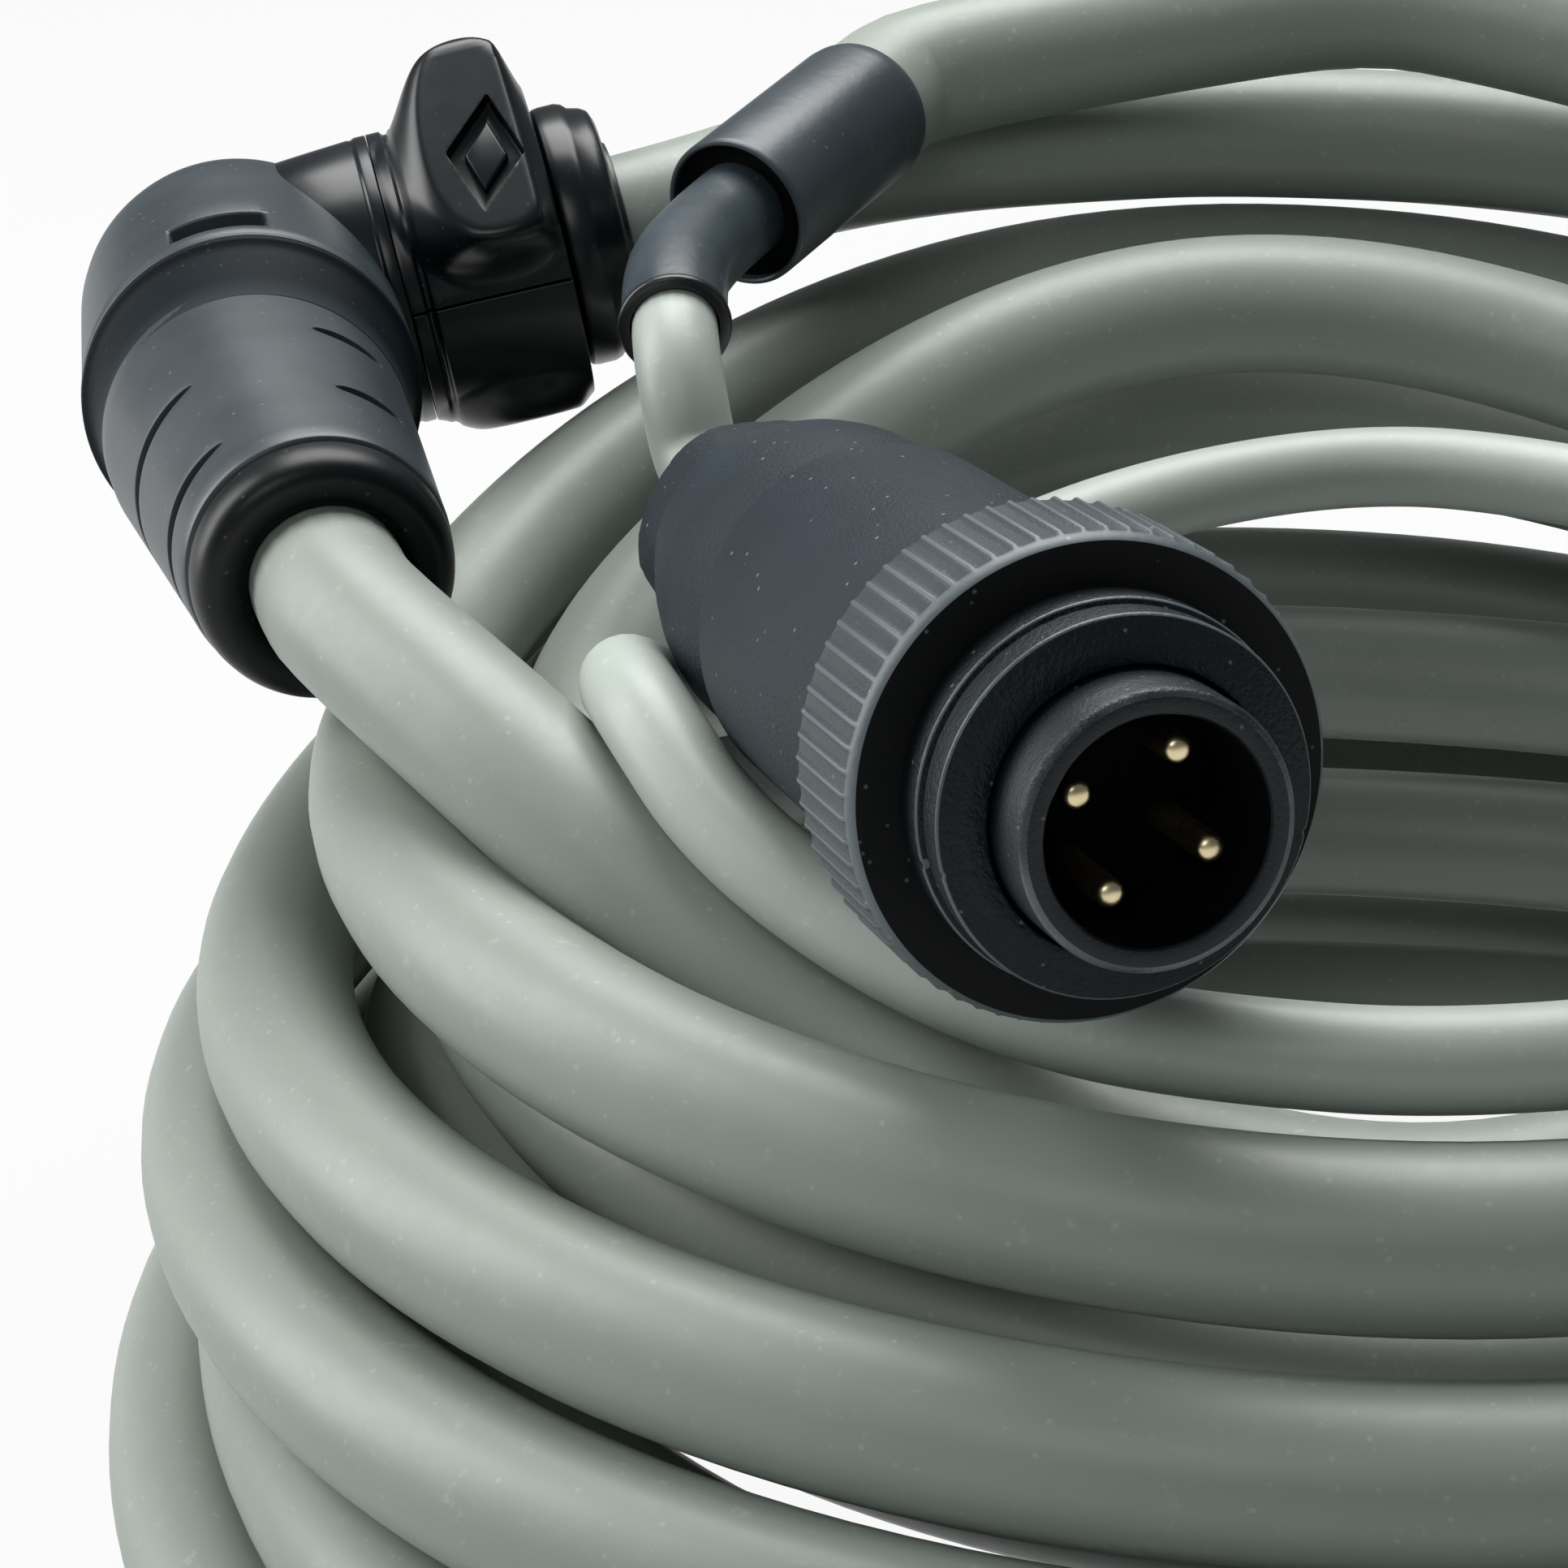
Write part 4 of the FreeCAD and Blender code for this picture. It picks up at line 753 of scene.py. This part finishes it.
def swell(turn, z, side, middle, at, long_half, wide_half, face):
    """How far a lug has risen: 0 off it, 1 on its flat face, and the face's radius."""
    off = math.radians((turn - middle + 180) % 360 - 180)
    if abs(off) > 1.35:
        return 0.0, 0.0
    reach = min(face / math.cos(off), face * 1.22)
    # The lug reaches further over the top than down the front, where the seam is near
    around = reach * math.sin(off) / (wide_half if off * side < 0 else 0.66 * wide_half)
    lengthways = (z - at) / (long_half if z > at else 1.15 * long_half)
    d = (abs(around) ** LUG_POWER + abs(lengthways) ** LUG_POWER) ** (1 / LUG_POWER)
    # It falls away over the flange in front, and is flush again at the seam
    rise = eased((1.75 - d) / 0.85) * eased((28.6 - z) / 2.6)
    from_top = abs(turn if side > 0 else 180 - abs(turn))
    return rise * eased((90 - from_top) / SEAM_FADE), reach


for name, side, middle, at, long_half, wide_half, face in (
        ("upper", 1, LUG_TURN, LUG_AT, LUG_LONG, LUG_WIDE, LUG_FACE),
        ("lower", -1, KEEL_TURN, KEEL_AT, KEEL_LONG, KEEL_WIDE, KEEL_FACE)):
    heights = [COLLAR_START + (COLLAR_END - COLLAR_START) * i / COLLAR_LEVELS
               for i in range(COLLAR_LEVELS + 1)]
    profile = [(COLLAR_BORE, COLLAR_START)]
    profile += [(collar_radius(z), z) for z in heights]
    shell = turned("elbow_lock_shell_" + name, profile + [(COLLAR_BORE, COLLAR_END)],
                   sides=240, ring=True)
    for vertex in shell.data.vertices:
        r, z = vertex.co.xy.length / MM, vertex.co.z / MM
        if r < COLLAR_BORE + 0.5:
            continue
        # Turn is counted from straight up, positive towards the front
        turn = math.degrees(math.atan2(vertex.co.y, vertex.co.x))
        rise, reach = swell(turn, z, side, middle, at, long_half, wide_half, face)
        grown = r + max(reach - r, 0.0) * rise
        vertex.co.xy *= grown / r
    select_only(shell)
    bpy.ops.object.mode_set(mode="EDIT")
    bpy.ops.mesh.select_all(action="SELECT")
    bpy.ops.mesh.bisect(plane_co=(side * SEAM_HALF * MM, 0, 0), plane_no=(side, 0, 0),
                        use_fill=True, clear_inner=True)
    bpy.ops.mesh.select_all(action="SELECT")
    bpy.ops.mesh.normals_make_consistent(inside=False)
    bpy.ops.object.mode_set(mode="OBJECT")
    if name == "upper":
        for half_long, half_wide, low, high, kind in DIAMONDS:
            select_only()
            bpy.ops.mesh.primitive_cylinder_add(vertices=4, radius=MM, depth=(high - low) * MM)
            block = bpy.context.object
            block.scale = (half_wide, half_long, 1)
            bpy.ops.object.transform_apply(location=False, rotation=False, scale=True)
            rounding = block.modifiers.new("corners", "BEVEL")
            rounding.width, rounding.segments = 0.3 * MM, 3
            bpy.ops.object.modifier_apply(modifier="corners")
            # The block's height turns to the lug's face, its width round the neck, and the
            # diamond leans with the coil of the bayonet inside
            block.data.transform(Matrix.Rotation(math.radians(DIAMOND_LEAN), 4, "Z"))
            tilt = Matrix.Rotation(math.radians(LUG_TURN), 4, "Z")
            block.data.transform(
                tilt @ seat((0, 0, 0), (1, 0, 0), (0, 1, 0))
                @ Matrix.Translation((0, 0, (low + high) / 2 * MM)))
            block.data.transform(Matrix.Translation((0, 0, LUG_AT * MM)))
            cut = shell.modifiers.new("window", "BOOLEAN")
            cut.operation, cut.object, cut.solver = kind, block, "EXACT"
            select_only(shell)
            bpy.ops.object.modifier_apply(modifier="window")
            bpy.data.objects.remove(block)
    finished(shell, NECK_PLACE, [polished_black], ["elbow_lock_" + name],
             edge=0.12, body="locking_collar")

# Inline socket: the same black shell, a plain disc pushed into the neck against a flat
# rubber seal, with a soft lip round the cable it is moulded on.
SOCKET_AT = NECK_END
socket = turned("socket_disc", [
    (7.5, SOCKET_AT - 6.5), (7.95, SOCKET_AT - 6.1), (7.95, SOCKET_AT), (10.6, SOCKET_AT),
    (11.1, SOCKET_AT + 0.3), (11.2, SOCKET_AT + 0.9), (11.2, SOCKET_AT + 2.3),
    (11.0, SOCKET_AT + 2.9), (10.6, SOCKET_AT + 3.3), (10.35, SOCKET_AT + 4.3),
    (10.0, SOCKET_AT + 4.9), (9.3, SOCKET_AT + 5.2), (7.25, SOCKET_AT + 5.2),
    (7.25, SOCKET_AT + 1.6), (4.0, SOCKET_AT + 1.6)])
finished(socket, NECK_PLACE, [polished_black], ["socket_shell"], edge=0.12)
cable_ring = turned("socket_cable_lip", [
    (5.8, SOCKET_AT + 1.65), (7.2, SOCKET_AT + 1.65), (7.2, SOCKET_AT + 5.3),
    (7.0, SOCKET_AT + 5.7), (6.6, SOCKET_AT + 5.8), (6.0, SOCKET_AT + 5.75),
    (5.8, SOCKET_AT + 5.5)], ring=True)
finished(cable_ring, NECK_PLACE, [soft_black], ["socket_grommet"], edge=0)
for node in ("face_seal", "plug_seal"):
    dress(node, soft_black)

# Bare end of the branch lead: three cores in coloured PVC, each with a crimped sleeve of
# tinned copper. The colours are the usual brown, blue and green of a mains lead.
for number, (colour, light) in enumerate(
        (("#5d3b25", "#7d5435"), ("#24548c", "#3a6fac"), ("#4c8338", "#8fae3c")), start=1):
    insulation = moulding("core_insulation_%d" % number, colour, light, rough=0.36, grain=1.0,
                          depth=0.00004, dust=0.1)
    dress("core_wire_%d" % number, insulation)
tinned, tinned_shader = blank_material("tinned_copper")
where = add(tinned, "ShaderNodeTexCoord").outputs["Object"]
crimp = add(tinned, "ShaderNodeTexNoise", {"Vector": where}, Scale=per_mm(1.1), Detail=3.0)
tin_tone = add(tinned, "ShaderNodeMixRGB", {"Fac": crimp.outputs["Fac"]},
               Color1=linear("#a9abad"), Color2=linear("#dcdee0"))
link(tinned, tin_tone.outputs[0], tinned_shader.inputs["Base Color"])
tin_rough = spread(tinned, crimp.outputs["Fac"], 0.25, 0.45)
link(tinned, tin_rough, tinned_shader.inputs["Roughness"])
tinned_shader.inputs["Metallic"].default_value = 1.0
for node in FERRULES:
    dress(node, tinned)
